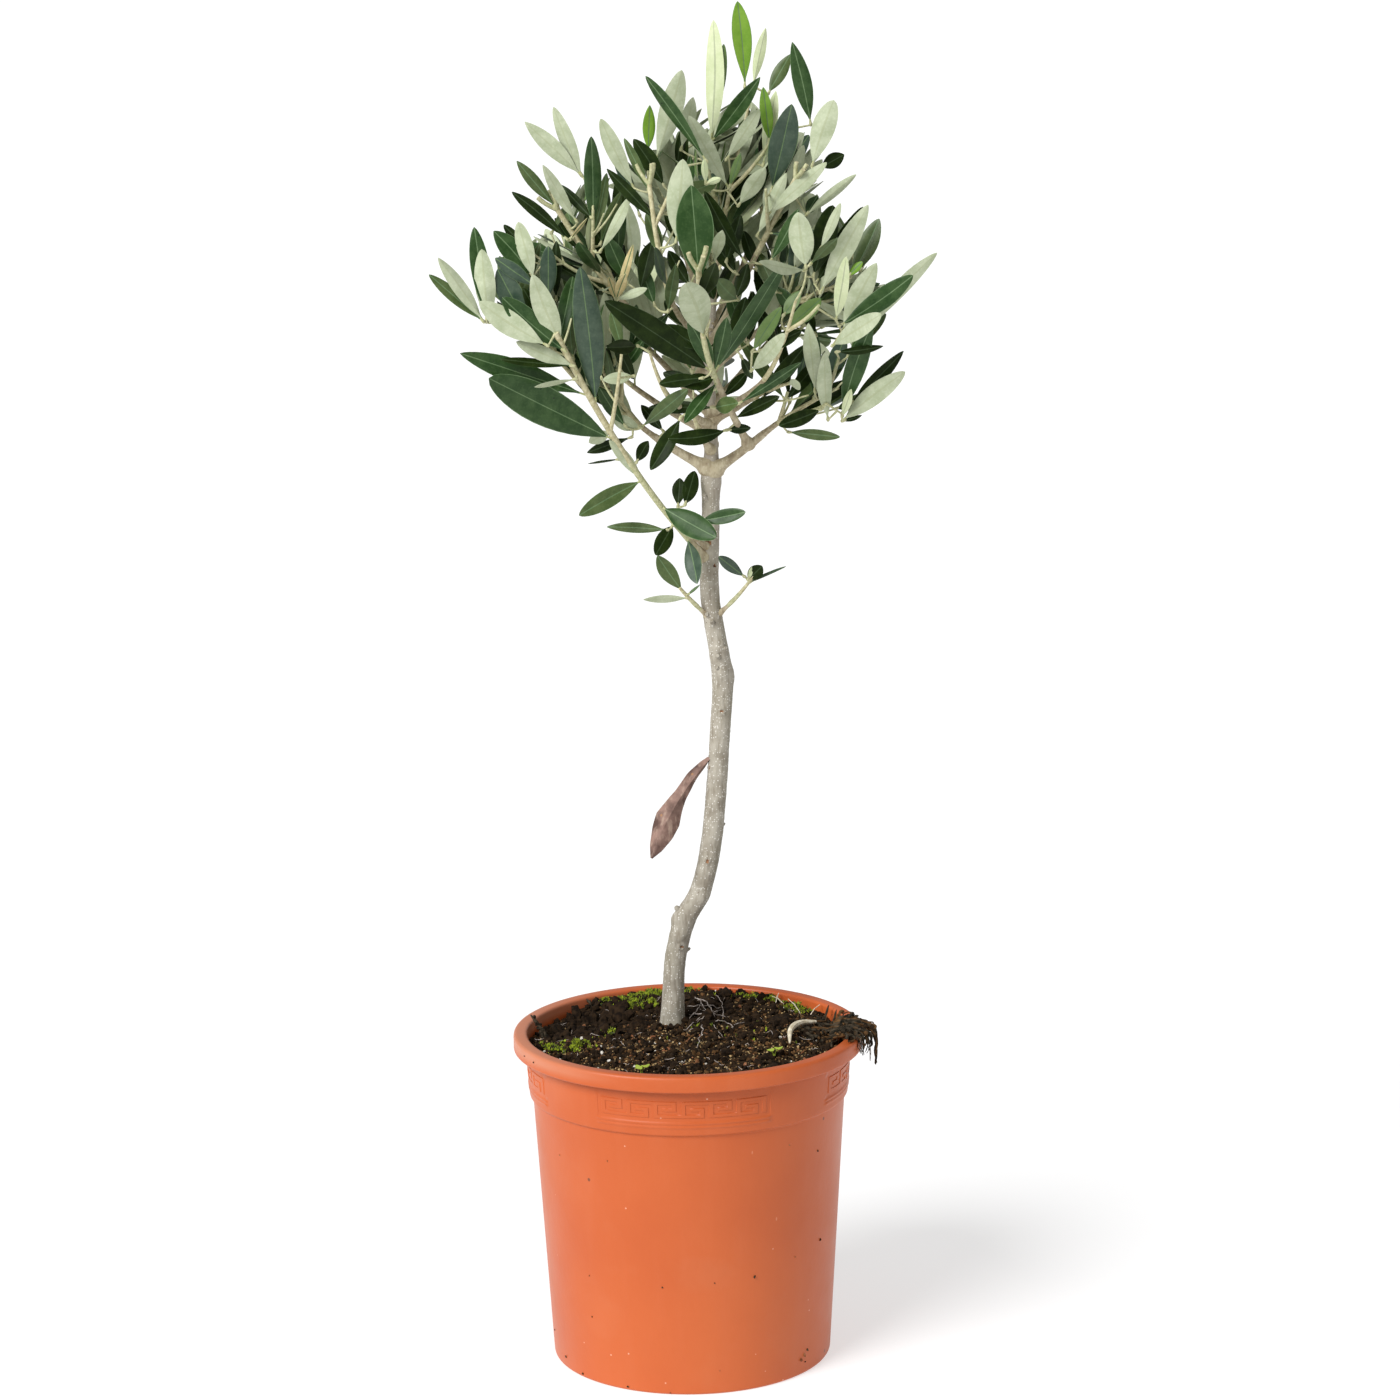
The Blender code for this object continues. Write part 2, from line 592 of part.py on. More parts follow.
def grow_crown(limbs, unit):
    """Every mass's twigs and leaves: stems first, then side shoots, then leaves in the room left."""
    thicket = Thicket()
    thicket.add("trunk", 0, *trunk_shape(GAP))
    for name, *_ in BOUGHS:
        path, radii = limbs[name]
        thicket.add(f"bough_{name}", 0, *tube(path, radii, BOUGH_SIDES))
    crown = {}
    for name, bough, tip, *_ in MASSES:
        stem = stem_path(limbs, bough, tip)
        radii = tapered(min(STEM_RADIUS, limbs[bough][1][-1]), STEM_STEPS)
        thicket.add(name, 0, *tube(stem, radii, TWIG_SIDES))
        crown[name] = ([(stem, radii)], [])
    for name, bough, _, shoots, _, seed in MASSES:
        rng = random.Random(seed)
        own = "trunk" if bough == "trunk" else f"bough_{bough}"
        twigs = crown[name][0]
        stem, stem_radii = twigs[0]
        for order in range(shoots):
            path = shoot_path(stem, order, shoots, rng)
            radii = tapered(stem_radii[0] * SHOOT_GIRTH, SHOOT_STEPS)
            if grow_shoot(thicket, name, len(twigs), path, radii, own):
                twigs.append((path, radii))
    for name, _, _, _, length, seed in MASSES:
        rng = random.Random(1000 + seed)
        twigs, leaves = crown[name]
        for number, (path, _) in enumerate(twigs):
            turn = rng.uniform(0, 90)
            leaves += dress_twig(thicket, unit, name, number, path, turn, length, rng)
    return crown


def build_mass(name, twigs, leaves, unit_mesh, material, collection):
    """One mass: stem, side shoots and leaves fused into one closed body."""
    points, faces = tube(*twigs[0], TWIG_SIDES)
    mass = new_object(f"leaves_{name}", mesh_of(name, points, faces), material, collection)
    pieces = new_collection(f"pieces_{name}")
    for path, radii in twigs[1:]:
        points, faces = tube(path, radii, TWIG_SIDES)
        new_object("shoot", mesh_of("shoot", points, faces), None, pieces)
    for placement, length, width in leaves:
        leaf = bpy.data.objects.new("leaf", unit_mesh)
        leaf.matrix_world = stretched(placement, -LEAF_ROOT, length, width)
        pieces.objects.link(leaf)
    union = mass.modifiers.new("fuse", "BOOLEAN")
    union.operation = "UNION"
    union.operand_type = "COLLECTION"
    union.collection = pieces
    union.solver = "EXACT"
    fused = evaluated_mesh(mass)
    mass.modifiers.clear()
    mass.data = fused
    for piece in list(pieces.objects):
        bpy.data.objects.remove(piece, do_unlink=True)
    bpy.data.collections.remove(pieces)


def build_dead_leaf(limbs, material, collection):
    """A dry leaf, long, folded along its rib and twisted, that hangs by its stalk from the bark."""
    axis = axis_point(limbs["trunk"][0], DEAD_LEAF_HEIGHT)
    side = Vector(DEAD_LEAF_SIDE).normalized()
    start = axis + side * (trunk_girth(DEAD_LEAF_HEIGHT) + GAP + 0.5 * DEAD_LEAF_THICKNESS)
    end = Vector(DEAD_LEAF_TIP)
    spine = bent_path(start, start.lerp(end, 0.5) + Vector(DEAD_LEAF_BOW), end, DEAD_LEAF_STEPS)
    ahead = (end - start).normalized()
    bm = bmesh.new()
    bmesh.ops.create_grid(bm, x_segments=2, y_segments=DEAD_LEAF_STEPS, size=0.5)
    for vertex in bm.verts:
        t = vertex.co.y + 0.5
        across = vertex.co.x * 2.0
        blade = max(0.0, t - DEAD_LEAF_STALK) / (1 - DEAD_LEAF_STALK)
        width = DEAD_LEAF_STALK_WIDTH + DEAD_LEAF_WIDTH * math.sin(math.pi * blade ** DEAD_LEAF_BELLY)
        first, more = DEAD_LEAF_TWIST
        twist = Matrix.Rotation(math.radians(first + more * t), 3, ahead)
        wide = twist @ side.orthogonal().cross(ahead).normalized()
        fold = wide.cross(ahead)
        middle = spine[round(t * DEAD_LEAF_STEPS)]
        vertex.co = middle + (wide * across + fold * DEAD_LEAF_FOLD * abs(across)) * 0.5 * width
    mesh = bpy.data.meshes.new("dead_leaf")
    bm.to_mesh(mesh)
    bm.free()
    leaf = new_object("dead_leaf", mesh, material, collection)
    shell = leaf.modifiers.new("blade", "SOLIDIFY")
    shell.thickness = DEAD_LEAF_THICKNESS
    shell.offset = 0.0


def build_tree():
    """Builds the pot, its soil and the whole plant."""
    clear_scene()
    parts = new_collection("potted_olive_tree")
    cutters = new_collection("cutters")
    terracotta = new_material("terracotta_plastic", (0.74, 0.17, 0.06), 0.45)
    earth = new_material("soil", (0.030, 0.020, 0.013), 0.95)
    bark = new_material("bark", (0.38, 0.33, 0.27), 0.85)
    foliage = new_material("olive_leaf", (0.045, 0.100, 0.045), 0.50)
    dry = new_material("dead_leaf", (0.22, 0.12, 0.10), 0.70)

    turned_object("pot", pot_profile(), terracotta, parts)
    build_soil(earth, parts)
    limbs = bough_paths()
    build_limbs(limbs, bark, parts, cutters)
    unit_mesh = leaf_mesh()
    corners = [vertex.co.copy() for vertex in unit_mesh.vertices]
    faces = [tuple(polygon.vertices) for polygon in unit_mesh.polygons]
    for name, (twigs, leaves) in grow_crown(limbs, (corners, faces)).items():
        build_mass(name, twigs, leaves, unit_mesh, foliage, parts)
    build_dead_leaf(limbs, dry, parts)


build_tree()
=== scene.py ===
import math
import random

import bpy
import numpy as np
from mathutils import Matrix, Vector, noise
from mathutils.bvhtree import BVHTree


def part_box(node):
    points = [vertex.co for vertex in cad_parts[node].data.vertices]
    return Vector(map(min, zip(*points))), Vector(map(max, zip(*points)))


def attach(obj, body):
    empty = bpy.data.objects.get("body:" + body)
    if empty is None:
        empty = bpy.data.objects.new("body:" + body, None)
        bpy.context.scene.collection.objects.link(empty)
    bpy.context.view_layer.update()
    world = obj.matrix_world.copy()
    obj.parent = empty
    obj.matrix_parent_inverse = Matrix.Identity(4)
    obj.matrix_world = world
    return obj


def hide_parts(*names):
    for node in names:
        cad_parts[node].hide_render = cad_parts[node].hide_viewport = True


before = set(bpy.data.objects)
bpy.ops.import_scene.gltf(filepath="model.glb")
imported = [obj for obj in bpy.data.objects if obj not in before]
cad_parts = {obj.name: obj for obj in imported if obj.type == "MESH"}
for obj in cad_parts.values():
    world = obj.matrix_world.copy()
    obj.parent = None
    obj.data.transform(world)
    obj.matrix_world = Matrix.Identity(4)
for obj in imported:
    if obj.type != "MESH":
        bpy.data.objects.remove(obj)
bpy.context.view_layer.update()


# ---- View ------------------------------------------------------------------------------------------
# The plant stands on a pale floor under soft light from the left. It is seen from in front, from
# just above its top, through a long lens.
CAMERA_PLACE = (0.008, -1.8, 0.671)
CAMERA_PITCH = math.radians(10.879)
CAMERA_ROLL = math.radians(-0.776)
CAMERA_LENS = 98.38
FLOOR_REACH = 120.0
FLOOR_GLOW = 0.56
SKY_STRENGTH = 0.4
KEY_STRENGTH = 3.5
KEY_SIZE = math.radians(30)
KEY_FROM = Vector((-0.95, -1.05, 1.4))
FILL_POWER = 1.0
FILL_PLACE = Vector((1.6, -1.2, 0.9))
FILL_SIZE = 1.2

camera_data = bpy.data.cameras.new("camera")
camera_data.lens = CAMERA_LENS
camera = bpy.data.objects.new("camera", camera_data)
tilt = Matrix.Rotation(math.pi / 2 - CAMERA_PITCH, 4, "X") @ Matrix.Rotation(CAMERA_ROLL, 4, "Z")
camera.matrix_world = Matrix.Translation(CAMERA_PLACE) @ tilt
bpy.context.scene.collection.objects.link(camera)
bpy.context.scene.camera = camera
bpy.context.scene.view_settings.view_transform = "Standard"

world = bpy.data.worlds.new("studio")
world.use_nodes = True
world.node_tree.nodes["Background"].inputs["Color"].default_value = (1.0, 1.0, 1.0, 1.0)
world.node_tree.nodes["Background"].inputs["Strength"].default_value = SKY_STRENGTH
bpy.context.scene.world = world


def up(height):
    """A step straight up."""
    return Vector((0, 0, height))


def place_light(name, kind, place, strength):
    """A lamp that shines from its place towards the plant's middle."""
    light = bpy.data.lights.new(name, kind)
    light.energy = strength
    lamp = bpy.data.objects.new(name, light)
    lamp.location = place
    lamp.rotation_euler = (up(0.35) - place).to_track_quat("-Z", "Y").to_euler()
    bpy.context.scene.collection.objects.link(lamp)
    return light


place_light("key", "SUN", KEY_FROM, KEY_STRENGTH).angle = KEY_SIZE
place_light("fill", "AREA", FILL_PLACE, FILL_POWER).size = FILL_SIZE


class Wire:
    """A value in a material's nodes. Sums written on it add Math nodes."""

    def __init__(self, tree, socket=None):
        self.tree = tree
        self.socket = socket

    def node(self, kind, settings=None, inputs=None, output=0):
        """Adds a node: its settings first, then the values or wires of its sockets."""
        node = self.tree.nodes.new("ShaderNode" + kind)
        for name, value in (settings or {}).items():
            setattr(node, name, value)
        for name, value in (inputs or {}).items():
            if isinstance(value, Wire):
                self.tree.links.new(value.socket, node.inputs[name])
            else:
                node.inputs[name].default_value = value
        return Wire(self.tree, node.outputs[output])

    def math(self, operation, a, b):
        """A Math node on two values."""
        return self.node("Math", {"operation": operation}, {0: a, 1: b})

    def __add__(self, other):
        return self.math("ADD", self, other)

    def __sub__(self, other):
        return self.math("SUBTRACT", self, other)

    def __mul__(self, other):
        return self.math("MULTIPLY", self, other)

    __radd__ = __add__
    __rmul__ = __mul__

    def __rsub__(self, other):
        return self.math("SUBTRACT", other, self)

    def above(self, edge, softness):
        """0 below the edge and 1 above it, with a soft step between."""
        limits = {"Value": self, "From Min": edge, "From Max": edge + softness}
        return self.node("MapRange", {}, limits)

    def mixed(self, first, second):
        """A colour between two others, by this value."""
        colours = [value if isinstance(value, Wire) else (*value, 1.0) for value in (first, second)]
        return self.node("Mix", {"data_type": "RGBA"}, {0: self, 6: colours[0], 7: colours[1]}, 2)

    def stretched(self, x, y, z):
        """This place, scaled along each axis."""
        return self.node("Mapping", {}, {"Vector": self, "Scale": (x, y, z)})

    def clouds(self, scale, detail=3.0):
        """Soft noise at this place, from 0 to 1."""
        return self.node("TexNoise", {}, {"Vector": self, "Scale": scale, "Detail": detail})

    def specks(self, scale, size, share):
        """Round specks of about this size, in this share of the cells of a random pattern."""
        cells = {"Vector": self, "Scale": scale}
        spot = size - self.node("TexVoronoi", {}, cells)
        chance = self.node("TexVoronoi", {}, cells, 1).red()
        return spot.above(0.0, 0.25 * size) * (share - chance).above(0.0, 0.01)

    def red(self):
        """The red part of this colour."""
        return self.node("SeparateColor", {}, {0: self})


class Finish:
    """A material: a principled shader, whose even values are set and whose uneven ones are wired."""

    def __init__(self, name, **even):
        self.material = bpy.data.materials.new(name)
        self.material.use_nodes = True
        self.shader = self.material.node_tree.nodes["Principled BSDF"]
        for socket, value in even.items():
            self.shader.inputs[socket.replace("_", " ")].default_value = value
        tree = self.material.node_tree
        coordinates = tree.nodes.new("ShaderNodeTexCoord")
        self.place = Wire(tree, coordinates.outputs["Object"])

    def paint(self, colour):
        """Sets the uneven colour."""
        self.material.node_tree.links.new(colour.socket, self.shader.inputs["Base Color"])

    def polish(self, roughness):
        """Sets the uneven roughness."""
        self.material.node_tree.links.new(roughness.socket, self.shader.inputs["Roughness"])

    def relief(self, height, distance, strength=1.0):
        """Sets the bump, whose height is given in metres by distance."""
        bump = height.node("Bump", {}, {"Strength": strength, "Distance": distance, "Height": height})
        self.material.node_tree.links.new(bump.socket, self.shader.inputs["Normal"])


def make_piece(name, points, faces, finishes, picks=None, sharp=40.0):
    """A smooth-shaded mesh object with its finishes, one picked for each face."""
    mesh = bpy.data.meshes.new(name)
    mesh.from_pydata([tuple(point) for point in points], [], faces)
    for finish in finishes:
        mesh.materials.append(finish.material)
    if picks is not None:
        mesh.polygons.foreach_set("material_index", picks)
    mesh.shade_smooth()
    mesh.set_sharp_from_angle(angle=math.radians(sharp))
    mesh.update()
    thing = bpy.data.objects.new(name, mesh)
    bpy.context.scene.collection.objects.link(thing)
    return thing


studio_floor = Finish("studio_floor", Roughness=0.9, Specular_IOR_Level=0.2,
                      Emission_Color=(1.0, 1.0, 1.0, 1.0), Emission_Strength=FLOOR_GLOW)
studio_floor.paint(studio_floor.place.clouds(3.0).mixed((0.49, 0.49, 0.49), (0.51, 0.51, 0.51)))
corners = [(-FLOOR_REACH, -FLOOR_REACH, 0), (FLOOR_REACH, -FLOOR_REACH, 0),
           (FLOOR_REACH, FLOOR_REACH, 0), (-FLOOR_REACH, FLOOR_REACH, 0)]
floor = make_piece("floor", corners, [(0, 1, 2, 3)], [studio_floor])


# ---- Pot -------------------------------------------------------------------------------------------
# A thin nursery pot, moulded in terracotta-coloured plastic. Its lip is turned down, and the collar
# under the lip carries four sunk panels of a running key pattern, with two fine ridges below them.
rim_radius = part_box("pot")[1].x
pot_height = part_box("pot")[1].z
BASE_RADIUS = 0.068
SHOULDER = (0.076, 0.131)
COLLAR_FOOT = (0.0776, 0.132)
COLLAR_TOP = (0.0792, 0.153)
WALL = 0.0013
FLOOR_HEIGHT = 0.0018
LIP_DROP = 0.0079
RIDGES = (0.1378, 0.136)
RIDGE_HEIGHT = 0.0003
# Heights on a ridge's outline from its middle, and which of them stand out
RIDGE_OUTLINE = ((0.0007, None), (0.00025, "ridge"), (-0.00025, "ridge"), (-0.0007, None))
COLLAR_PLAIN = 0.1345
PANELS = 4
PANEL_CENTRE = math.radians(-91.8)
PANEL_SPAN = math.radians(62.5)
PANEL_TOP = 0.1504
PANEL_SINK = 0.00024
KEY_RISE = 0.00034
KEY_ROW = 0.00162
KEY_SLOPE = 0.00014
KEY_UNIT = (
    "#####.",
    "#...#.",
    "#.###.",
    "#.....",
    "######",
)
KEY_UNITS = 6
PLAIN_STEP = math.radians(1.5)


def rounded(outline, steps=4):
    """An outline of (radius, height, softness) points with its corners drawn round."""
    points = []
    for i, (x, z, soft) in enumerate(outline):
        here = Vector((x, z))
        if soft == 0.0 or i in (0, len(outline) - 1):
            points.append(here)
            continue
        before = (Vector(outline[i - 1][:2]) - here).normalized() * soft
        after = (Vector(outline[i + 1][:2]) - here).normalized() * soft
        for step in range(steps + 1):
            t = step / steps
            points.append(here + before * (1 - t) ** 2 + after * t * t)
    return points


def key_lines():
    """Edges of the key pattern's columns and rows, counted in cells from the pattern's corner."""
    columns = len(KEY_UNIT[0]) * KEY_UNITS + 1
    return range(-1, columns + 2), range(-1, len(KEY_UNIT) + 2)


def key_bar(column, row):
    """True where the pattern's raised line fills the cell. Every other unit is upside down."""
    width = len(KEY_UNIT[0])
    if not (0 <= row < len(KEY_UNIT) and 0 <= column <= width * KEY_UNITS):
        return False
    if column == width * KEY_UNITS:
        return True
    unit, place = divmod(column, width)
    return KEY_UNIT[row if unit % 2 == 0 else len(KEY_UNIT) - 1 - row][place] == "#"


def build_pot():
    """The pot as one skin: columns of points round the axis, rows along its outline."""
    columns, rows = key_lines()
    cell = PANEL_SPAN / (len(columns) - 1)
    slope = KEY_SLOPE / COLLAR_TOP[0]
    start = PANEL_CENTRE - PANEL_SPAN / 2
    turns = []
    for line in columns[:-1]:
        turns.append((start + (line + 1) * cell + slope, line))
        turns.append((start + (line + 2) * cell - slope, line))
    gap = 2 * math.pi / PANELS - PANEL_SPAN
    plain = round(gap / PLAIN_STEP)
    for i in range(plain + 1):
        turns.append((start + PANEL_SPAN + slope + (gap - 2 * slope) * i / plain, None))
    turns = [(angle + 2 * math.pi * panel / PANELS, line) for panel in range(PANELS) for angle, line in turns]

    lip = pot_height - LIP_DROP
    inner = rounded((
        (BASE_RADIUS * 0.3, FLOOR_HEIGHT, 0.0), (BASE_RADIUS - WALL, FLOOR_HEIGHT, 0.0012),
        (SHOULDER[0] - WALL, SHOULDER[1] - 0.002, 0.0006), (COLLAR_FOOT[0] - WALL, COLLAR_FOOT[1], 0.0006),
        (COLLAR_TOP[0] - WALL, COLLAR_TOP[1], 0.0), (COLLAR_TOP[0] - WALL + 0.0004, pot_height, 0.0016),
        (rim_radius, pot_height, 0.0019), (rim_radius, lip, 0.001),
        (rim_radius - 0.002, lip, 0.0006), (rim_radius - 0.0024, lip + 0.003, 0.0008),
        (COLLAR_TOP[0], lip + 0.0028, 0.0008), (COLLAR_TOP[0], COLLAR_TOP[1], 0.0002)))
    outline = [(point.x, point.y, None) for point in inner]

    def collar(height):
        share = (height - COLLAR_FOOT[1]) / (COLLAR_TOP[1] - COLLAR_FOOT[1])
        return COLLAR_FOOT[0] + share * (COLLAR_TOP[0] - COLLAR_FOOT[0])

    for line in rows[:-1]:
        top = PANEL_TOP - (line + 1) * KEY_ROW - KEY_SLOPE
        foot = PANEL_TOP - (line + 2) * KEY_ROW + KEY_SLOPE
        outline += [(collar(height), height, line) for height in (top, foot)]
    for ridge in RIDGES:
        outline += [(collar(ridge + offset), ridge + offset, rise) for offset, rise in RIDGE_OUTLINE]
    lower = rounded((
        (collar(COLLAR_PLAIN), COLLAR_PLAIN, 0.0), (*COLLAR_FOOT, 0.0006), (*SHOULDER, 0.0006),
        (BASE_RADIUS, 0.0, 0.0016), (BASE_RADIUS * 0.3, 0.0, 0.0)))
    outline += [(point.x, point.y, None) for point in lower]

    points = []
    for radius, height, row in outline:
        for angle, column in turns:
            reach = radius
            if row == "ridge":
                reach += RIDGE_HEIGHT if column is not None else 0.0
            elif row is not None and column is not None:
                reach += KEY_RISE - PANEL_SINK if key_bar(column, row) else -PANEL_SINK
            points.append((reach * math.cos(angle), reach * math.sin(angle), height))
    faces = []
    around = len(turns)
    for i in range(len(outline) - 1):
        for k in range(around):
            a, b = i * around + k, i * around + (k + 1) % around
            faces.append((b, a, a + around, b + around))
    faces.append(tuple(range(around)))
    faces.append(tuple(reversed(range(len(points) - around, len(points)))))
    return points, faces


terracotta = Finish("terracotta_plastic", Coat_Weight=0.05, Coat_Roughness=0.3, Specular_IOR_Level=0.3)
here = terracotta.place
tone = here.clouds(9.0, 4.0)
flow = here.stretched(1.0, 1.0, 0.12).clouds(70.0, 4.0)
colour = tone.above(0.35, 0.3).mixed((0.485, 0.094, 0.021), (0.545, 0.118, 0.029))
colour = (flow.above(0.5, 0.35) * 0.35).mixed(colour, (0.54, 0.135, 0.05))
dust = here.clouds(26.0, 5.0).above(0.56, 0.25) * 0.22
colour = dust.mixed(colour, (0.56, 0.2, 0.1))
scuffs = here.stretched(1.0, 1.0, 0.45).specks(170.0, 0.1, 0.06)
colour = (scuffs * 0.35).mixed(colour, (0.72, 0.36, 0.22))
flecks = here.specks(230.0, 0.11, 0.07)
colour = (flecks * 0.6).mixed(colour, (0.84, 0.5, 0.36))
# Painted sheen: the top of the lip is paler on its left, where glancing light from the left would reflect off
# it.
height = here.node("SeparateXYZ", {}, {0: here}, 2)
leftward = -0.03 - here.node("SeparateXYZ", {}, {0: here}, 0)
painted_lip_sheen = height.above(0.156, 0.003) * leftward.above(0.0, 0.045)
colour = (painted_lip_sheen * 0.55).mixed(colour, (0.56, 0.265, 0.165))
dirt = here.specks(62.0, 0.06, 0.1)
colour = (dirt * 0.85).mixed(colour, (0.14, 0.045, 0.02))
terracotta.paint(colour)
terracotta.polish(here.clouds(40.0, 5.0) * 0.22 + 0.3 + dust * 0.6)
uneven = here.clouds(420.0, 3.0) + here.clouds(60.0, 2.0) * 2.0
terracotta.relief(uneven, 0.00012, 0.5)

pot = make_piece("pot_moulded", *build_pot(), [terracotta], sharp=38.0)
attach(pot, "root")
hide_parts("pot")


# ---- Soil ------------------------------------------------------------------------------------------
# A root ball of dark peat with bark chips and pale grains, rough on top. Moss grows on its shaded
# edges, fine old roots lie over it, and a wad of dark roots hangs over the pot's lip on the right.
soil_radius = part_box("soil")[1].x
SOIL_REACH = 0.985
SOIL_SIDE_DROP = 0.01
SOIL_GRID = (96, 220)
CLOD_HEIGHT = 0.0022
HOLLOW_DEPTH = 0.0035
BACK_RISE = 0.0034
TRUNK_FOOT = Vector((-0.0076, 0.014, 0.162))
TRUNK_ROOM = 0.0056


def surface(thing):
    """An object's faces, to drop things on."""
    faces = [tuple(face.vertices) for face in thing.data.polygons]
    return BVHTree.FromPolygons([vertex.co for vertex in thing.data.vertices], faces)


soil_surface = surface(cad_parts["soil"])


def clods(x, y):
    """How far the soil's own lumps rise or sink here."""
    spot = Vector((x, y, 0.0))
    lump = noise.noise(spot * 75.0) + 0.7 * noise.noise(spot * 190.0) + 0.55 * noise.noise(spot * 460.0)
    lump += 0.35 * noise.noise(spot * 1100.0)
    shaded = math.exp(-((x + 0.05) ** 2 + (y - 0.028) ** 2) / 0.00075)
    behind = min(1.0, max(0.0, (y - 0.032) / 0.026)) * math.exp(-(x / 0.056) ** 4)
    return CLOD_HEIGHT * 0.6 * lump - HOLLOW_DEPTH * shaded + BACK_RISE * behind


def ground(x, y):
    """Height of the soil here, with its lumps."""
    reach = SOIL_REACH * soil_radius / max(SOIL_REACH * soil_radius, math.hypot(x, y))
    hit = soil_surface.ray_cast(Vector((x * reach, y * reach, 1.0)), up(-1))[0]
    return hit.z + clods(x, y)


def build_soil():
    """The root ball's rough top, with its side going down inside the pot."""
    rings, around = SOIL_GRID
    points = []
    for i in range(1, rings + 1):
        radius = soil_radius * i / rings
        for k in range(around):
            angle = 2 * math.pi * k / around
            x, y = radius * math.cos(angle), radius * math.sin(angle)
            points.append((x, y, ground(x, y)))
    for k in range(around):
        x, y, z = points[(rings - 1) * around + k]
        points.append((x * 0.975, y * 0.975, z - SOIL_SIDE_DROP))
    faces = []
    for i in range(rings):
        for k in range(around):
            a, b = i * around + k, i * around + (k + 1) % around
            faces.append((a, a + around, b + around, b))
    faces.append(tuple(range(around)))
    faces.append(tuple(reversed(range(rings * around, (rings + 1) * around))))
    return points, faces


class Heap:
    """Many small shapes gathered into one mesh."""

    def __init__(self):
        self.points = []
        self.faces = []
        self.picks = []

    def add(self, points, faces, picks=0):
        """Adds a shape, with one finish for all its faces or one for each."""
        first = len(self.points)
        self.points += [tuple(point) for point in points]
        self.faces += [tuple(first + i for i in face) for face in faces]
        self.picks += [picks] * len(faces) if isinstance(picks, int) else list(picks)

    def piece(self, name, finishes, sharp=40.0):
        """The heap as one object."""
        return make_piece(name, self.points, self.faces, finishes, self.picks, sharp)


def skin_faces(rings, around):
    """Faces that join rings of points, one after another, and close both ends."""
    faces = []
    for i in range(rings - 1):
        for k in range(around):
            a, b = i * around + k, i * around + (k + 1) % around
            faces.append((a, b, b + around, a + around))
    last = (rings - 1) * around
    return faces + [tuple(reversed(range(around))), tuple(range(last, last + around))]


def tube(path, radii, sides):
    """Points and faces of a closed limb: rings along the path, carried on without twist."""
    points = []
    side = None
    for i, spot in enumerate(path):
        ahead = (path[min(i + 1, len(path) - 1)] - path[max(i - 1, 0)]).normalized()
        side = ahead.orthogonal() if side is None else side
        side = (side - ahead * side.dot(ahead)).normalized()
        across = ahead.cross(side)
        for k in range(sides):
            turn = 2 * math.pi * k / sides
            points.append(spot + (side * math.cos(turn) + across * math.sin(turn)) * radii[i])
    return points, skin_faces(len(path), sides)


def grain_shape(rng, rough=0.28):
    """A small angular grain of unit size, knocked out of round."""
    golden = (1 + math.sqrt(5)) / 2
    corners = (
        (-1, golden, 0), (1, golden, 0), (-1, -golden, 0), (1, -golden, 0),
        (0, -1, golden), (0, 1, golden), (0, -1, -golden), (0, 1, -golden),
        (golden, 0, -1), (golden, 0, 1), (-golden, 0, -1), (-golden, 0, 1))
    return [Vector(corner).normalized() * rng.uniform(1 - rough, 1 + rough) for corner in corners]


GRAIN_FACES = (
    (0, 11, 5), (0, 5, 1), (0, 1, 7), (0, 7, 10), (0, 10, 11), (1, 5, 9), (5, 11, 4), (11, 10, 2), (10, 7, 6),
    (7, 1, 8), (3, 9, 4), (3, 4, 2), (3, 2, 6), (3, 6, 8), (3, 8, 9), (4, 9, 5), (2, 4, 11), (6, 2, 10),
    (8, 6, 7), (9, 8, 1))


def soil_spot(rng, reach=SOIL_REACH):
    """A random place on the soil, clear of the trunk's foot."""
    while True:
        angle = rng.uniform(0, 2 * math.pi)
        radius = soil_radius * reach * math.sqrt(rng.random())
        x, y = radius * math.cos(angle), radius * math.sin(angle)
        if math.hypot(x - TRUNK_FOOT.x, y - TRUNK_FOOT.y) > TRUNK_ROOM:
            return x, y


def strew_grains(name, finish, count, sizes, seed, flat=(0.5, 1.0), where=None):
    """Grains of one kind over the soil, each half sunk into it."""
    rng = random.Random(seed)
    shapes = [grain_shape(rng) for _ in range(12)]
    heap = Heap()
    for _ in range(count):
        x, y = soil_spot(rng)
        if where is not None and rng.random() > where(x, y):
            continue
        size = sizes[0] + (sizes[1] - sizes[0]) * rng.random() ** 2.2
        stretch = Matrix.Diagonal((rng.uniform(0.7, 1.3), rng.uniform(0.7, 1.3), rng.uniform(*flat)))
        angle = rng.uniform(0, 6.28)
        turn = Matrix.Rotation(angle, 3, Vector((rng.gauss(0, 1), rng.gauss(0, 1), 1)).normalized())
        spot = Vector((x, y, ground(x, y) + rng.uniform(-0.1, 0.6) * size))
        shape = turn @ stretch * size
        heap.add([spot + shape @ corner for corner in rng.choice(shapes)], GRAIN_FACES)
    grains = heap.piece(name, [finish], sharp=30.0)
    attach(grains, "root")


def sandy(x, y):
    """Share of pale grains here: most in front, few in the hollow on the left and under the roots."""
    hollow = math.exp(-((x + 0.05) ** 2 + (y - 0.028) ** 2) / 0.0011)
    under_roots = math.exp(-((x - 0.011) ** 2 / 0.00016 + (y - 0.034) ** 2 / 0.0005))
    return max(0.04, 0.95 - hollow - under_roots - 0.45 * max(0.0, y) / soil_radius)


def earthy(name, dark, light, roughness=0.95, scale=420.0):
    """A dull earthen finish, mottled between two colours."""
    finish = Finish(name, Roughness=roughness, Specular_IOR_Level=0.12)
    finish.paint(finish.place.clouds(scale, 4.0).above(0.38, 0.25).mixed(dark, light))
    finish.relief(finish.place.clouds(scale * 4, 3.0), 0.0003, 0.7)
    return finish


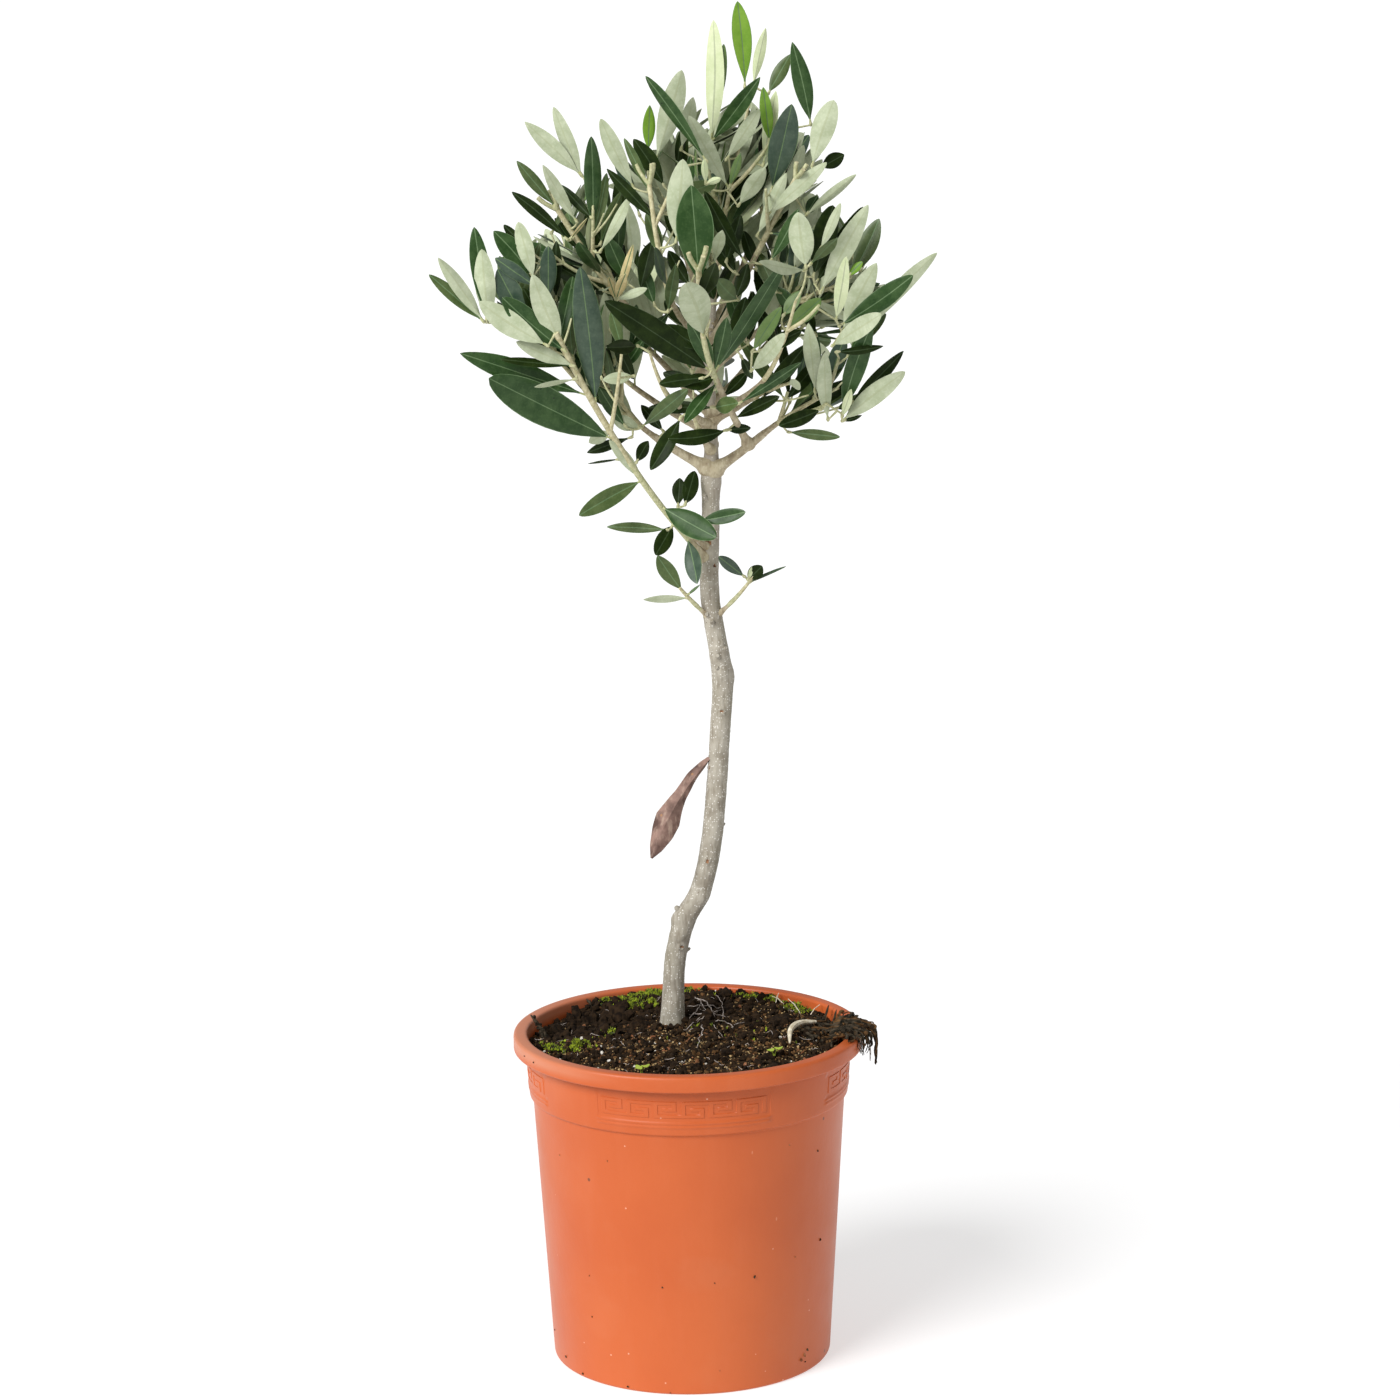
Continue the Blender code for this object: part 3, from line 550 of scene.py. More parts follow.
peat = earthy("peat", (0.009, 0.005, 0.0026), (0.042, 0.024, 0.011), scale=300.0)
black_crumb = earthy("black_crumb", (0.008, 0.0045, 0.0025), (0.03, 0.017, 0.008))
brown_crumb = earthy("brown_crumb", (0.052, 0.025, 0.009), (0.145, 0.076, 0.03))
tan_grain = earthy("tan_grain", (0.19, 0.11, 0.04), (0.6, 0.43, 0.21), 0.8, scale=900.0)
white_grain = earthy("white_grain", (0.6, 0.56, 0.48), (0.8, 0.77, 0.7), 0.7)
rusty_chip = earthy("rusty_chip", (0.16, 0.06, 0.026), (0.32, 0.14, 0.065), 0.85)

soil = make_piece("soil_top", *build_soil(), [peat], sharp=80.0)
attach(soil, "root")
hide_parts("soil")
strew_grains("crumbs_black", black_crumb, 2400, (0.0005, 0.0022), 3)
strew_grains("lumps_black", black_crumb, 800, (0.001, 0.0042), 13, where=lambda x, y: 1.0 - sandy(x, y))
strew_grains("crumbs_brown", brown_crumb, 3400, (0.0003, 0.0012), 5, where=sandy)
strew_grains("grains_tan", tan_grain, 3600, (0.00024, 0.00078), 7, where=sandy)
strew_grains("grains_white", white_grain, 200, (0.0003, 0.001), 9, where=sandy)
strew_grains("chips_rusty", rusty_chip, 420, (0.0004, 0.0016), 11, (0.25, 0.6), where=sandy)


# Moss: cushions of tiny upright shoots, mottled from a near-black green, a painted shade between the shoots,
# to a bright lime that is partly their young tips and partly painted highlight
MOSS = (
    # x, y, reach along them, shoots
    (-0.022, 0.064, 0.01, 0.007, 900), (-0.036, 0.06, 0.007, 0.006, 420),
    (-0.006, 0.072, 0.008, 0.003, 300), (-0.025, 0.048, 0.009, 0.005, 420),
    (-0.057, -0.018, 0.009, 0.006, 620), (-0.066, -0.016, 0.004, 0.004, 160),
    (-0.04, 0.002, 0.004, 0.003, 90), (0.038, 0.061, 0.014, 0.006, 360),
    (0.056, 0.044, 0.008, 0.006, 160), (0.03, -0.006, 0.03, 0.025, 50))
MOSS_SCALE = 230.0
MOSS_CUSHION = 0.004
MOSS_SHOOT = (0.001, 0.0026)

moss_green = Finish("moss", Roughness=0.75)
# Painted light: the near-black green is painted shade, and the bright lime is partly painted highlight.
moss_light_and_shade = moss_green.place.clouds(620.0, 3.0).above(0.38, 0.26)
moss_green.paint(moss_light_and_shade.mixed((0.018, 0.032, 0.002), (0.37, 0.46, 0.012)))


def build_moss():
    """Each tuft is three short cones that lean apart."""
    rng = random.Random(21)
    heap = Heap()
    for middle_x, middle_y, reach_x, reach_y, count in MOSS:
        for _ in range(count):
            x = middle_x + rng.gauss(0, 0.55) * reach_x
            y = middle_y + rng.gauss(0, 0.55) * reach_y
            beside_trunk = math.hypot(x - TRUNK_FOOT.x, y - TRUNK_FOOT.y) < TRUNK_ROOM
            if beside_trunk or math.hypot(x, y) > 0.98 * soil_radius:
                continue
            cushion = noise.noise(Vector((x, y, 3.0)) * MOSS_SCALE)
            if cushion < 0.0:
                continue
            foot = Vector((x, y, ground(x, y) - 0.0002 + MOSS_CUSHION * cushion))
            tall = rng.uniform(*MOSS_SHOOT)
            for _ in range(3):
                lean = Vector((rng.gauss(0, 0.45), rng.gauss(0, 0.45), 1.0)).normalized()
                tip = foot + lean * tall * rng.uniform(0.7, 1.1)
                heap.add(*tube([foot, foot.lerp(tip, 0.6), tip], [0.00016, 0.0003, 0.00005], 3))
    return heap


moss = build_moss().piece("moss", [moss_green])
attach(moss, "root")


# Roots, fibres, straws and bits of twig that lie on the soil or stick out of it. Each arched root has
# the places where it leaves the soil, passes over it and comes down, as x, y and height above it.
ROOT_ARCHES = (
    ((-0.0025, 0.03, 0.001), (0.006, 0.024, 0.0034), (0.015, 0.03, 0.001)),
    ((0.001, 0.005, 0.0005), (0.009, 0.014, 0.0026), (0.017, 0.036, 0.0014)),
    ((-0.0015, 0.012, 0.001), (0.005, 0.022, 0.0036), (0.007, 0.043, 0.003)),
    ((0.006, 0.027, 0.0014), (0.012, 0.003, 0.002), (0.017, -0.013, 0.0006)),
    ((0.0045, 0.03, 0.0024), (0.007, -0.006, 0.0016), (0.004, -0.032, 0.0006)),
    ((0.0095, 0.005, 0.001), (0.016, 0.012, 0.0022), (0.023, 0.009, 0.0006)),
    ((0.001, 0.04, 0.001), (0.006, 0.043, 0.0034), (0.009, 0.028, 0.0012)),
    ((0.014, 0.05, 0.003), (0.017, 0.036, 0.003), (0.017, 0.018, 0.0006)),
    ((-0.001, 0.022, 0.001), (0.01, 0.014, 0.0036), (0.02, 0.026, 0.001)),
    ((0.003, 0.052, 0.0026), (0.01, 0.036, 0.0036), (0.014, 0.012, 0.001)),
    ((0.0, 0.036, 0.003), (0.011, 0.03, 0.005), (0.019, 0.042, 0.001)))
FIBRES = 260
FIBRE_STEPS = 3
HUSK_POINTS = ((0.049, -0.021), (0.0497, -0.012), (0.0545, -0.002), (0.0625, 0.0035))
HUSK_LIFTS = (0.001, 0.004, 0.0055, 0.0055)
# Straws: x, y, heading, length, height of the tip
STRAWS = ((0.056, 0.04, 2.1, 0.012, 0.005), (0.06, 0.033, 0.9, 0.009, 0.0042),
          (0.044, 0.056, 1.3, 0.006, 0.0034), (0.048, 0.052, 2.4, 0.008, 0.003))
# Ragged bits of twig that stand in the soil: x, y, how far the tip leans, its height, thickness
TWIG_BITS = (
    (-0.07, 0.006, -0.007, 0.005, 0.0125, 0.0019), (-0.069, 0.005, -0.004, 0.002, 0.008, 0.0015),
    (-0.036, 0.062, 0.003, 0.002, 0.004, 0.0013), (-0.049, 0.056, -0.002, 0.003, 0.0055, 0.0013))

# Soil stuck to the pot: bearing round it in degrees, height, size
CRUMBS_ON_POT = (
    (-133, 0.055, 0.0007), (-65, 0.058, 0.0011), (-101, 0.055, 0.0007), (-81, 0.057, 0.0005),
    (-121, 0.116, 0.0006), (-146, 0.112, 0.0005), (-133, 0.034, 0.0007), (-51, 0.121, 0.0007),
    (-35, 0.113, 0.0007), (-46, 0.063, 0.0005), (-30, 0.066, 0.001), (-154, 0.006, 0.0009),
    (-141, 0.002, 0.0009), (-117, 0.002, 0.001), (-99, 0.001, 0.0008), (-38, 0.01, 0.0015),
    (-40, 0.008, 0.0011), (-36, 0.012, 0.0009), (-37, 0.006, 0.0008), (-79, 0.012, 0.0005),
    (-168, 0.014, 0.0007), (-150, 0.1585, 0.0008), (-157, 0.159, 0.0007), (-84, 0.1545, 0.0006),
    (20, 0.03, 0.0009), (65, 0.004, 0.0012), (120, 0.05, 0.0008), (150, 0.003, 0.001))

root_grey = earthy("root_grey", (0.27, 0.225, 0.2), (0.58, 0.51, 0.46), 0.8)
root_dark = earthy("root_dark", (0.012, 0.01, 0.006), (0.07, 0.053, 0.034), 0.85)
straw = earthy("straw", (0.56, 0.48, 0.34), (0.8, 0.73, 0.58), 0.6)


def smooth_path(points, steps):
    """A smooth curve through the points, cut into this many steps between two of them."""
    knots = [Vector(point) for point in points]
    knots = [2 * knots[0] - knots[1]] + knots + [2 * knots[-1] - knots[-2]]
    path = []
    for a, b, c, d in zip(knots, knots[1:], knots[2:], knots[3:]):
        for step in range(steps):
            t = step / steps
            curved = (2 * a - 5 * b + 4 * c - d) * t * t + (3 * b - a - 3 * c + d) * t ** 3
            path.append(0.5 * (2 * b + (c - a) * t + curved))
    path.append(knots[-2])
    return path


def wander(rng, start, heading, length):
    """A short path that wanders over the soil and lies on it."""
    path = []
    x, y = start
    for _ in range(FIBRE_STEPS + 1):
        path.append(Vector((x, y, ground(x, y) + 0.0006 + rng.uniform(0, 0.0016))))
        heading += rng.gauss(0, 0.5)
        x += math.cos(heading) * length / FIBRE_STEPS
        y += math.sin(heading) * length / FIBRE_STEPS
    return [spot for spot in path if math.hypot(spot.x, spot.y) < 0.97 * soil_radius]


def even(value, path):
    """One radius for every point of a path, drawn in at its ends."""
    return [value * (0.35 if i in (0, len(path) - 1) else 1.0) for i in range(len(path))]


def build_roots():
    """Grey roots that arch over one another beside the trunk's foot, and short fibres all over the soil."""
    rng = random.Random(31)
    heap = Heap()
    for arch in ROOT_ARCHES:
        path = smooth_path([(x, y, ground(x, y) + lift) for x, y, lift in arch], 7)
        path = [spot + Vector([rng.gauss(0, 0.00035) for _ in range(3)]) for spot in path]
        heap.add(*tube(path, even(rng.uniform(0.00013, 0.00024), path), 5))
    for _ in range(FIBRES):
        start, heading = soil_spot(rng, 0.95), rng.uniform(0, 6.28)
        path = wander(rng, start, heading, rng.uniform(0.0025, 0.008))
        if len(path) > 2:
            path = smooth_path(path, 2)
            heap.add(*tube(path, even(rng.uniform(0.00007, 0.00016), path), 5), rng.choice((0, 0, 1, 1, 1)))
    return heap


roots = build_roots().piece("roots_on_soil", [root_grey, root_dark])
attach(roots, "root")

# The wad: where its mat begins and ends, how its strands run, and the share of the soil's radius
# past which it lies on the lip
WAD_FROM = Vector((0.058, 0.012))
WAD_TO = Vector((0.079, -0.017))
WAD_HEADING = math.radians(-40)
WAD_STRANDS = 150
WAD_STEP = 0.0022
WAD_GRAINS = 520
BRIM = 0.96
# Strands that hang outside the pot: bearing in degrees, how far out and down they reach, radius
WAD_HANGING = ((-4, 0.006, 0.0065, 0.0013), (-5, 0.0072, 0.019, 0.0013), (-8, 0.004, 0.016, 0.0005),
               (-10, 0.0034, 0.012, 0.0006), (-2, 0.007, 0.01, 0.0008), (-13, 0.0018, 0.011, 0.0009),
               (-15, 0.0016, 0.01, 0.0006), (-17, 0.0014, 0.0075, 0.0007), (1, 0.005, 0.0045, 0.0007),
               (-7, 0.0068, 0.015, 0.0007), (-12, 0.003, 0.007, 0.001), (-9, 0.0052, 0.0085, 0.001),
               (-6, 0.0045, 0.005, 0.0014), (-11, 0.002, 0.005, 0.0013), (3, 0.0035, 0.003, 0.0009))


def facing(bearing):
    """The level direction of a bearing in degrees from +X."""
    return Vector((math.cos(math.radians(bearing)), math.sin(math.radians(bearing)), 0))


def build_root_wad():
    """A mat of dark old roots with peat in it, that has grown over the lip and hangs outside the pot."""
    rng = random.Random(43)
    heap = Heap()
    for _ in range(WAD_STRANDS):
        along = rng.random()
        middle = WAD_FROM.lerp(WAD_TO, along) + Vector((rng.gauss(0, 0.0035), rng.gauss(0, 0.005)))
        heading = WAD_HEADING + rng.gauss(0, 0.95)
        path = []
        x, y = middle
        high = pot_height + 0.0004 if math.hypot(x, y) > soil_radius * BRIM else ground(x, y)
        lift = rng.uniform(0, 0.003 + 0.0018 * along)
        for _ in range(6):
            low = ground(x, y) if math.hypot(x, y) < soil_radius * BRIM else pot_height
            path.append(Vector((x, y, max(low, high - 0.001) + lift + rng.uniform(0, 0.0012))))
            heading += rng.gauss(0, 0.4)
            x += math.cos(heading) * WAD_STEP
            y += math.sin(heading) * WAD_STEP
            if math.hypot(x, y) > rim_radius + 0.001:
                break
        if len(path) > 2:
            path = smooth_path(path, 3)
            heap.add(*tube(path, even(rng.uniform(0.00025, 0.0008), path), 5), rng.choice((0, 0, 0, 1)))
    for bearing, out, drop, thick in WAD_HANGING:
        towards = facing(bearing)
        across = Vector((-towards.y, towards.x, 0))
        for _ in range(3):
            jitter = across * rng.gauss(0, 0.0009)
            top = up(pot_height + 0.001 + rng.uniform(0, 0.0022))
            path = [towards * (rim_radius - 0.014) + top + jitter * 2 - up(0.001),
                    towards * (rim_radius - 0.006) + top + up(0.0012) + jitter,
                    towards * (rim_radius + 0.4 * out) + top - up(0.0006) + jitter]
            for part in (0.35, 0.7, 1.0):
                sway = across * rng.gauss(0, 0.0008) + towards * rng.gauss(0, 0.0005)
                reach = rim_radius + out * rng.uniform(0.85, 1.05)
                fall = up(drop * part * rng.uniform(0.85, 1.05))
                path.append(towards * reach + top - fall + jitter + sway)
            path = smooth_path(path, 4)
            size = thick * rng.uniform(0.5, 0.8)
            girths = [size * (1.1 - 0.75 * i / len(path)) * rng.uniform(0.8, 1.2) for i in range(len(path))]
            heap.add(*tube(path, girths, 6), rng.choice((0, 0, 1)))
    shapes = [grain_shape(rng) for _ in range(8)]
    for _ in range(WAD_GRAINS):
        spot = WAD_FROM.lerp(WAD_TO, rng.random()) + Vector((rng.gauss(0, 0.004), rng.gauss(0, 0.005)))
        size = rng.uniform(0.0004, 0.0015)
        low = ground(*spot) if spot.length < soil_radius * BRIM else pot_height
        place = Vector((spot.x, spot.y, low + rng.uniform(0, 0.003)))
        heap.add([place + corner * size for corner in rng.choice(shapes)], GRAIN_FACES, rng.choice((1, 2, 2)))
    return heap


wad = build_root_wad().piece("root_wad", [root_dark, brown_crumb, black_crumb])
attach(wad, "root")


def build_litter():
    """A curved pale husk, a few dry straws, ragged dark bits along the lip, and soil stuck to the pot."""
    rng = random.Random(57)
    heap = Heap()
    shapes = [grain_shape(rng) for _ in range(8)]
    pot_surface = surface(pot)
    path = smooth_path([(x, y, ground(x, y) + lift) for (x, y), lift in zip(HUSK_POINTS, HUSK_LIFTS)], 5)
    widths = [0.0015 * math.sin(math.pi * (i + 0.6) / (len(path) + 0.8)) ** 0.6 for i in range(len(path))]
    heap.add(*tube(path, widths, 8), 0)
    for x, y, heading, length, lift in STRAWS:
        foot = Vector((x, y, ground(x, y)))
        tip = foot + Vector((math.cos(heading) * length, math.sin(heading) * length, lift))
        middle = foot.lerp(tip, 0.5) + up(0.001)
        heap.add(*tube([foot, middle, tip], [0.0003, 0.00026, 0.00018], 5), 0)
    for x, y, dx, dy, height, size in TWIG_BITS:
        foot = Vector((x, y, ground(x, y) - 0.001))
        tip = foot + Vector((dx, dy, height))
        path = smooth_path([foot, foot.lerp(tip, 0.55) + Vector((0.0012, 0.0, 0.0)), tip], 3)
        heap.add(*tube(path, [0.5 * size * share for share in (1.0, 0.9, 1.1, 0.8, 1.1, 0.7, 0.4)], 6), 1)
        for _ in range(22):
            spot = rng.choice(path[:-1]) + Vector([rng.gauss(0, 0.35 * size) for _ in range(3)])
            girth = size * rng.uniform(0.2, 0.5)
            heap.add([spot + corner * girth for corner in rng.choice(shapes)], GRAIN_FACES, 1)
    for bearing, height, size in CRUMBS_ON_POT:
        towards = facing(bearing)
        spot = pot_surface.ray_cast(towards * 0.2 + up(height), -towards)[0]
        turn = Matrix.Rotation(rng.uniform(0, 3), 3, towards)
        flat = turn @ Matrix.Diagonal((0.7, 1.0, rng.uniform(0.4, 0.8)))
        corners = [spot + flat @ corner * size for corner in rng.choice(shapes)]
        heap.add(corners, GRAIN_FACES, rng.choice((1, 1, 2)))
    return heap


litter = build_litter().piece("litter", [straw, root_dark, rusty_chip])
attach(litter, "root")


# Two seedlings: a few round seed leaves on thin stalks
SEEDLINGS = ((-0.022, -0.063, 0.005, 3), (0.041, -0.042, 0.0065, 2))

seedling_green = Finish("seedling", Roughness=0.5)
seedling_green.paint(seedling_green.place.clouds(900.0).mixed((0.3, 0.42, 0.03), (0.5, 0.6, 0.08)))


def build_seedlings():
    """Each leaf is a thin cupped disc on its stalk."""
    rng = random.Random(83)
    heap = Heap()
    for x, y, height, leaves in SEEDLINGS:
        foot = Vector((x, y, ground(x, y)))
        for number in range(leaves):
            away = facing(360 * number / leaves + rng.uniform(0, 50)) * 0.0022
            top = foot + away + up(height * rng.uniform(0.7, 1.0))
            heap.add(*tube([foot, foot.lerp(top, 0.6) - away * 0.3, top], [0.0003, 0.00025, 0.0002], 5))
            rim = []
            for side in (0.00012, -0.00012):
                for k in range(12):
                    turn = math.pi * k / 6
                    long_way = away.normalized() * math.cos(turn) * 0.0021
                    wide_way = Vector((-away.y, away.x, 0)).normalized() * math.sin(turn) * 0.0015
                    rim.append(top + long_way + wide_way + up(0.0004 * math.cos(2 * turn) + side))
            rings = [tuple(range(12)), tuple(reversed(range(12, 24)))]
            walls = [(k, k + 12, (k + 1) % 12 + 12, (k + 1) % 12) for k in range(12)]
            heap.add(rim, rings + walls)
    return heap


seedlings = build_seedlings().piece("seedlings", [seedling_green])
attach(seedlings, "root")


# ---- Trunk and boughs ------------------------------------------------------------------------------
# A slender trunk, no thicker than a finger, with one kink above the soil and a head of boughs that
# leave it from two thirds of its height. The bark is grey, finely furrowed, with knots and old scars.
TRUNK_AXIS = (
    (-0.0076, 0.014, 0.162), (-0.0056, 0.014, 0.194), (-0.0005, 0.013, 0.214), (0.0072, 0.013, 0.229),
    (0.0128, 0.012, 0.254), (0.0172, 0.012, 0.303), (0.0186, 0.012, 0.336), (0.0136, 0.011, 0.373),
    (0.0141, 0.011, 0.406), (0.015, 0.011, 0.449), (0.0143, 0.011, 0.485), (0.017, 0.011, 0.516),
)
TRUNK_GIRTH = ((0.162, 0.0054), (0.23, 0.0051), (0.336, 0.0049), (0.43, 0.0042), (0.445, 0.0034),
               (0.485, 0.0026), (0.516, 0.0016))
TRUNK_STEPS = 3
ROOT_FLARE = 0.0008
FLARE_HEIGHT = 0.007
BARK_RING = 0.0009
BARK_STEPS = 12
BARK_DEPTH = 0.00026
SCAR_BEND = 0.0048
TRUNK_SIDES = 72
# Swellings of the bark: height, bearing in degrees from +X, how far out, reach along and round it
KNOTS = (
    (0.215, 190, 0.0021, 0.0038, 0.8), (0.206, 265, 0.001, 0.0035, 0.8),
    (0.335, 20, 0.0012, 0.006, 1.0), (0.276, 300, 0.0008, 0.004, 0.9),
    (0.344, 240, 0.001, 0.005, 0.9), (0.337, 275, 0.0011, 0.003, 0.7),
    (0.349, 285, 0.0009, 0.0026, 0.7), (0.43, 180, 0.001, 0.006, 1.0),
    (0.43, 0, 0.001, 0.006, 1.0), (0.225, 320, 0.0007, 0.0035, 0.9),
    (0.376, 290, 0.0007, 0.0032, 0.8), (0.169, 250, 0.0008, 0.0035, 1.0))
# Old scars, sunk with a raised edge: height, bearing, radius
SCARS = ((0.4, 258, 0.0022), (0.318, 272, 0.0013), (0.244, 262, 0.0012), (0.29, 215, 0.0012),
         (0.389, 300, 0.0012), (0.361, 268, 0.0014), (0.201, 290, 0.0013))

# Boughs: name, height of the foot on the parent's axis, tip, radius at foot and tip. All of them leave
# the trunk, apart from those in PARENTS.
PARENTS = {"front": "right_low"}
BOUGHS = (
    ("low_left", 0.391, (0.003, 0.004, 0.403), 0.0021, 0.0015),
    ("left", 0.435, (-0.012, 0.002, 0.452), 0.0027, 0.0017),
    ("right_low", 0.434, (0.04, 0.0, 0.453), 0.0027, 0.0018),
    ("front", 0.447, (0.017, -0.03, 0.483), 0.0019, 0.0014),
    ("front_left", 0.456, (-0.003, -0.025, 0.472), 0.0019, 0.0014),
    ("front_low", 0.444, (0.01, -0.018, 0.455), 0.0017, 0.0013),
    ("right_inner", 0.458, (0.031, -0.004, 0.468), 0.0017, 0.0013),
    ("centre_right", 0.462, (0.034, -0.02, 0.475), 0.002, 0.0014),
    ("upper_left", 0.478, (-0.018, -0.012, 0.509), 0.0019, 0.0014),
    ("inner_left", 0.492, (0.001, -0.025, 0.511), 0.0015, 0.0012),
    ("top_left", 0.5, (0.006, 0.02, 0.529), 0.0014, 0.0011),
    ("right_up", 0.495, (0.032, 0.0, 0.527), 0.0015, 0.0012),
    ("top_right", 0.503, (0.032, 0.03, 0.532), 0.0014, 0.0011),
    ("right", 0.482, (0.041, 0.005, 0.504), 0.0018, 0.0013),
    ("back_left", 0.463, (-0.004, 0.037, 0.479), 0.002, 0.0014),
    ("back_right", 0.466, (0.031, 0.037, 0.479), 0.0019, 0.0014),
    ("back_low", 0.446, (0.017, 0.034, 0.455), 0.002, 0.0014),
    ("back", 0.48, (0.016, 0.038, 0.5), 0.0017, 0.0013),
    ("left_back", 0.452, (-0.012, 0.026, 0.466), 0.0019, 0.0014),
    ("low_inner", 0.397, (0.006, -0.002, 0.404), 0.0013, 0.001),
    ("sprout_left", 0.362, (0.007, 0.005, 0.37), 0.0011, 0.0009),
    ("sprout_right", 0.363, (0.0235, 0.007, 0.371), 0.0011, 0.0009),
)
BOUGH_STEPS = 4
BOUGH_FINE_STEPS = 24
BOUGH_DEPTH = 0.00016
BOUGH_SAG = 0.05
BOUGH_RING = 0.0007
BOUGH_SIDES = 32
COLLAR_SWELL = 0.85
COLLAR_REACH = 0.0038


def bent_path(start, control, end, steps):
    """An even bend from start to end, drawn towards the control point."""
    path = []
    for step in range(steps + 1):
        t = step / steps
        path.append(start * (1 - t) ** 2 + control * 2 * t * (1 - t) + end * t ** 2)
    return path


def trunk_girth(height):
    """The trunk's radius at a height."""
    heights, girths = zip(*TRUNK_GIRTH)
    return float(np.interp(height, heights, girths))


def axis_point(path, height):
    """The point of a limb's axis nearest to a height."""
    for low, high in zip(path, path[1:]):
        if low.z <= height <= high.z:
            return low.lerp(high, (height - low.z) / (high.z - low.z))
    return min(path, key=lambda spot: abs(spot.z - height))


def bough_paths():
    """Each limb's axis and radii by name, the trunk's too."""
    trunk = smooth_path(TRUNK_AXIS, TRUNK_STEPS)
    limbs = {"trunk": (trunk, [TRUNK_GIRTH[-1][1]] * len(trunk))}
    for name, height, tip, foot_radius, tip_radius in BOUGHS:
        start = axis_point(limbs[PARENTS.get(name, "trunk")][0], height)
        end = Vector(tip)
        sag = up(-BOUGH_SAG * (end - start).length)
        path = bent_path(start, start.lerp(end, 0.5) + sag, end, BOUGH_STEPS)
        radii = [foot_radius + (tip_radius - foot_radius) * i / BOUGH_STEPS for i in range(BOUGH_STEPS + 1)]
        limbs[name] = (path, radii)
    return limbs


def resampled(path, radii, step):
    """The same limb cut into even short lengths: its points, its radii and how far along they lie."""
    lengths = [0.0]
    for a, b in zip(path, path[1:]):
        lengths.append(lengths[-1] + (b - a).length)
    count = max(4, round(lengths[-1] / step))
    along = [lengths[-1] * i / count for i in range(count + 1)]
    coordinates = [[spot[axis] for spot in path] for axis in range(3)]
    spots = [Vector([float(np.interp(s, lengths, values)) for values in coordinates]) for s in along]
    return spots, [float(np.interp(s, lengths, radii)) for s in along], along


def furrows(angle, along, girth, depth):
    """How far the bark stands out here: long fine furrows, wrinkles across them and small warts."""
    round_it = Vector((math.cos(angle), math.sin(angle), 0.0))
    spot = round_it * 2.6 + up(along * 90.0)
    furrow = -abs(noise.noise(spot + up(7.0)))
    furrow -= 0.5 * abs(noise.noise(round_it * 6.0 + up(along * 210.0)))
    wrinkle = noise.noise(round_it * 1.1 + Vector((3.0, 0, along * 620.0)))
    wart = noise.noise(round_it * girth * 900.0 + Vector((0, 5.0, along * 900.0)))
    swell = noise.noise(round_it * 0.7 + Vector((0, 9.0, along * 70.0)))
    return depth * (furrow + 0.35 * wrinkle + 0.9 * max(0.0, wart - 0.25) + 0.9 * swell)


def bark_limb(path, radii, step, sides, depth, shape=None):
    """A limb's skin with the bark's relief; shape(point, outward) adds knots and scars."""
    spots, girths, along = resampled(path, radii, step)
    points, faces = tube(spots, girths, sides)
    for i, spot in enumerate(spots):
        for k in range(sides):
            index = i * sides + k
            outward = (points[index] - spot).normalized()
            rise = furrows(2 * math.pi * k / sides, along[i], girths[i], depth)
            if shape is not None:
                rise += shape(points[index], outward)
            points[index] = points[index] + outward * rise
    return points, faces


def trunk_marks(point, outward):
    """Knots and scars of the trunk at this point of its bark."""
    rise = 0.0
    for height, bearing, swell, reach, spread in KNOTS:
        if abs(point.z - height) < 3 * reach:
            near = max(0.0, outward.dot(facing(bearing))) ** (3.0 / spread)
            rise += swell * near * math.exp(-((point.z - height) / reach) ** 2)
    for height, bearing, radius in SCARS:
        if abs(point.z - height) < 3 * radius:
            cosine = outward.dot(facing(bearing))
            across = math.sqrt(max(0.0, 1 - cosine ** 2)) * SCAR_BEND if cosine > 0 else 1.0
            gap = math.hypot(point.z - height, across) / radius
            rise += 0.00065 * math.exp(-((gap - 1.0) / 0.38) ** 2) - 0.0005 * math.exp(-(gap / 0.7) ** 2)
    return rise


def build_trunk():
    """The trunk, widened at its foot, with the bark's relief."""
    path = smooth_path(TRUNK_AXIS, BARK_STEPS)
    path[0] = path[0] - up(0.0012)
    flare = [1.6 * ROOT_FLARE * math.exp(-(spot.z - path[0].z) / FLARE_HEIGHT) for spot in path]
    radii = [trunk_girth(spot.z) + wider for spot, wider in zip(path, flare)]
    return bark_limb(path, radii, BARK_RING, TRUNK_SIDES, BARK_DEPTH, trunk_marks)


def build_bough(name):
    """A bough, set into its parent's bark on a swollen collar."""
    path, radii = limbs[name]
    middle = path[0].lerp(path[-1], 0.5)
    path = bent_path(path[0], middle + (path[2] - middle) * 2.0, path[-1], BOUGH_FINE_STEPS)
    radii = [radii[0] + (radii[-1] - radii[0]) * i / BOUGH_FINE_STEPS for i in range(BOUGH_FINE_STEPS + 1)]
    bark = limbs[PARENTS[name]][1][0] if name in PARENTS else trunk_girth(path[0].z)
    swollen = []
    for spot, radius in zip(path, radii):
        beyond = max(0.0, (spot - path[0]).length - bark)
        swollen.append(radius * (1 + COLLAR_SWELL * math.exp(-beyond / COLLAR_REACH * 1.6)))
    return bark_limb(path, swollen, BOUGH_RING, BOUGH_SIDES, BOUGH_DEPTH)


limbs = bough_paths()

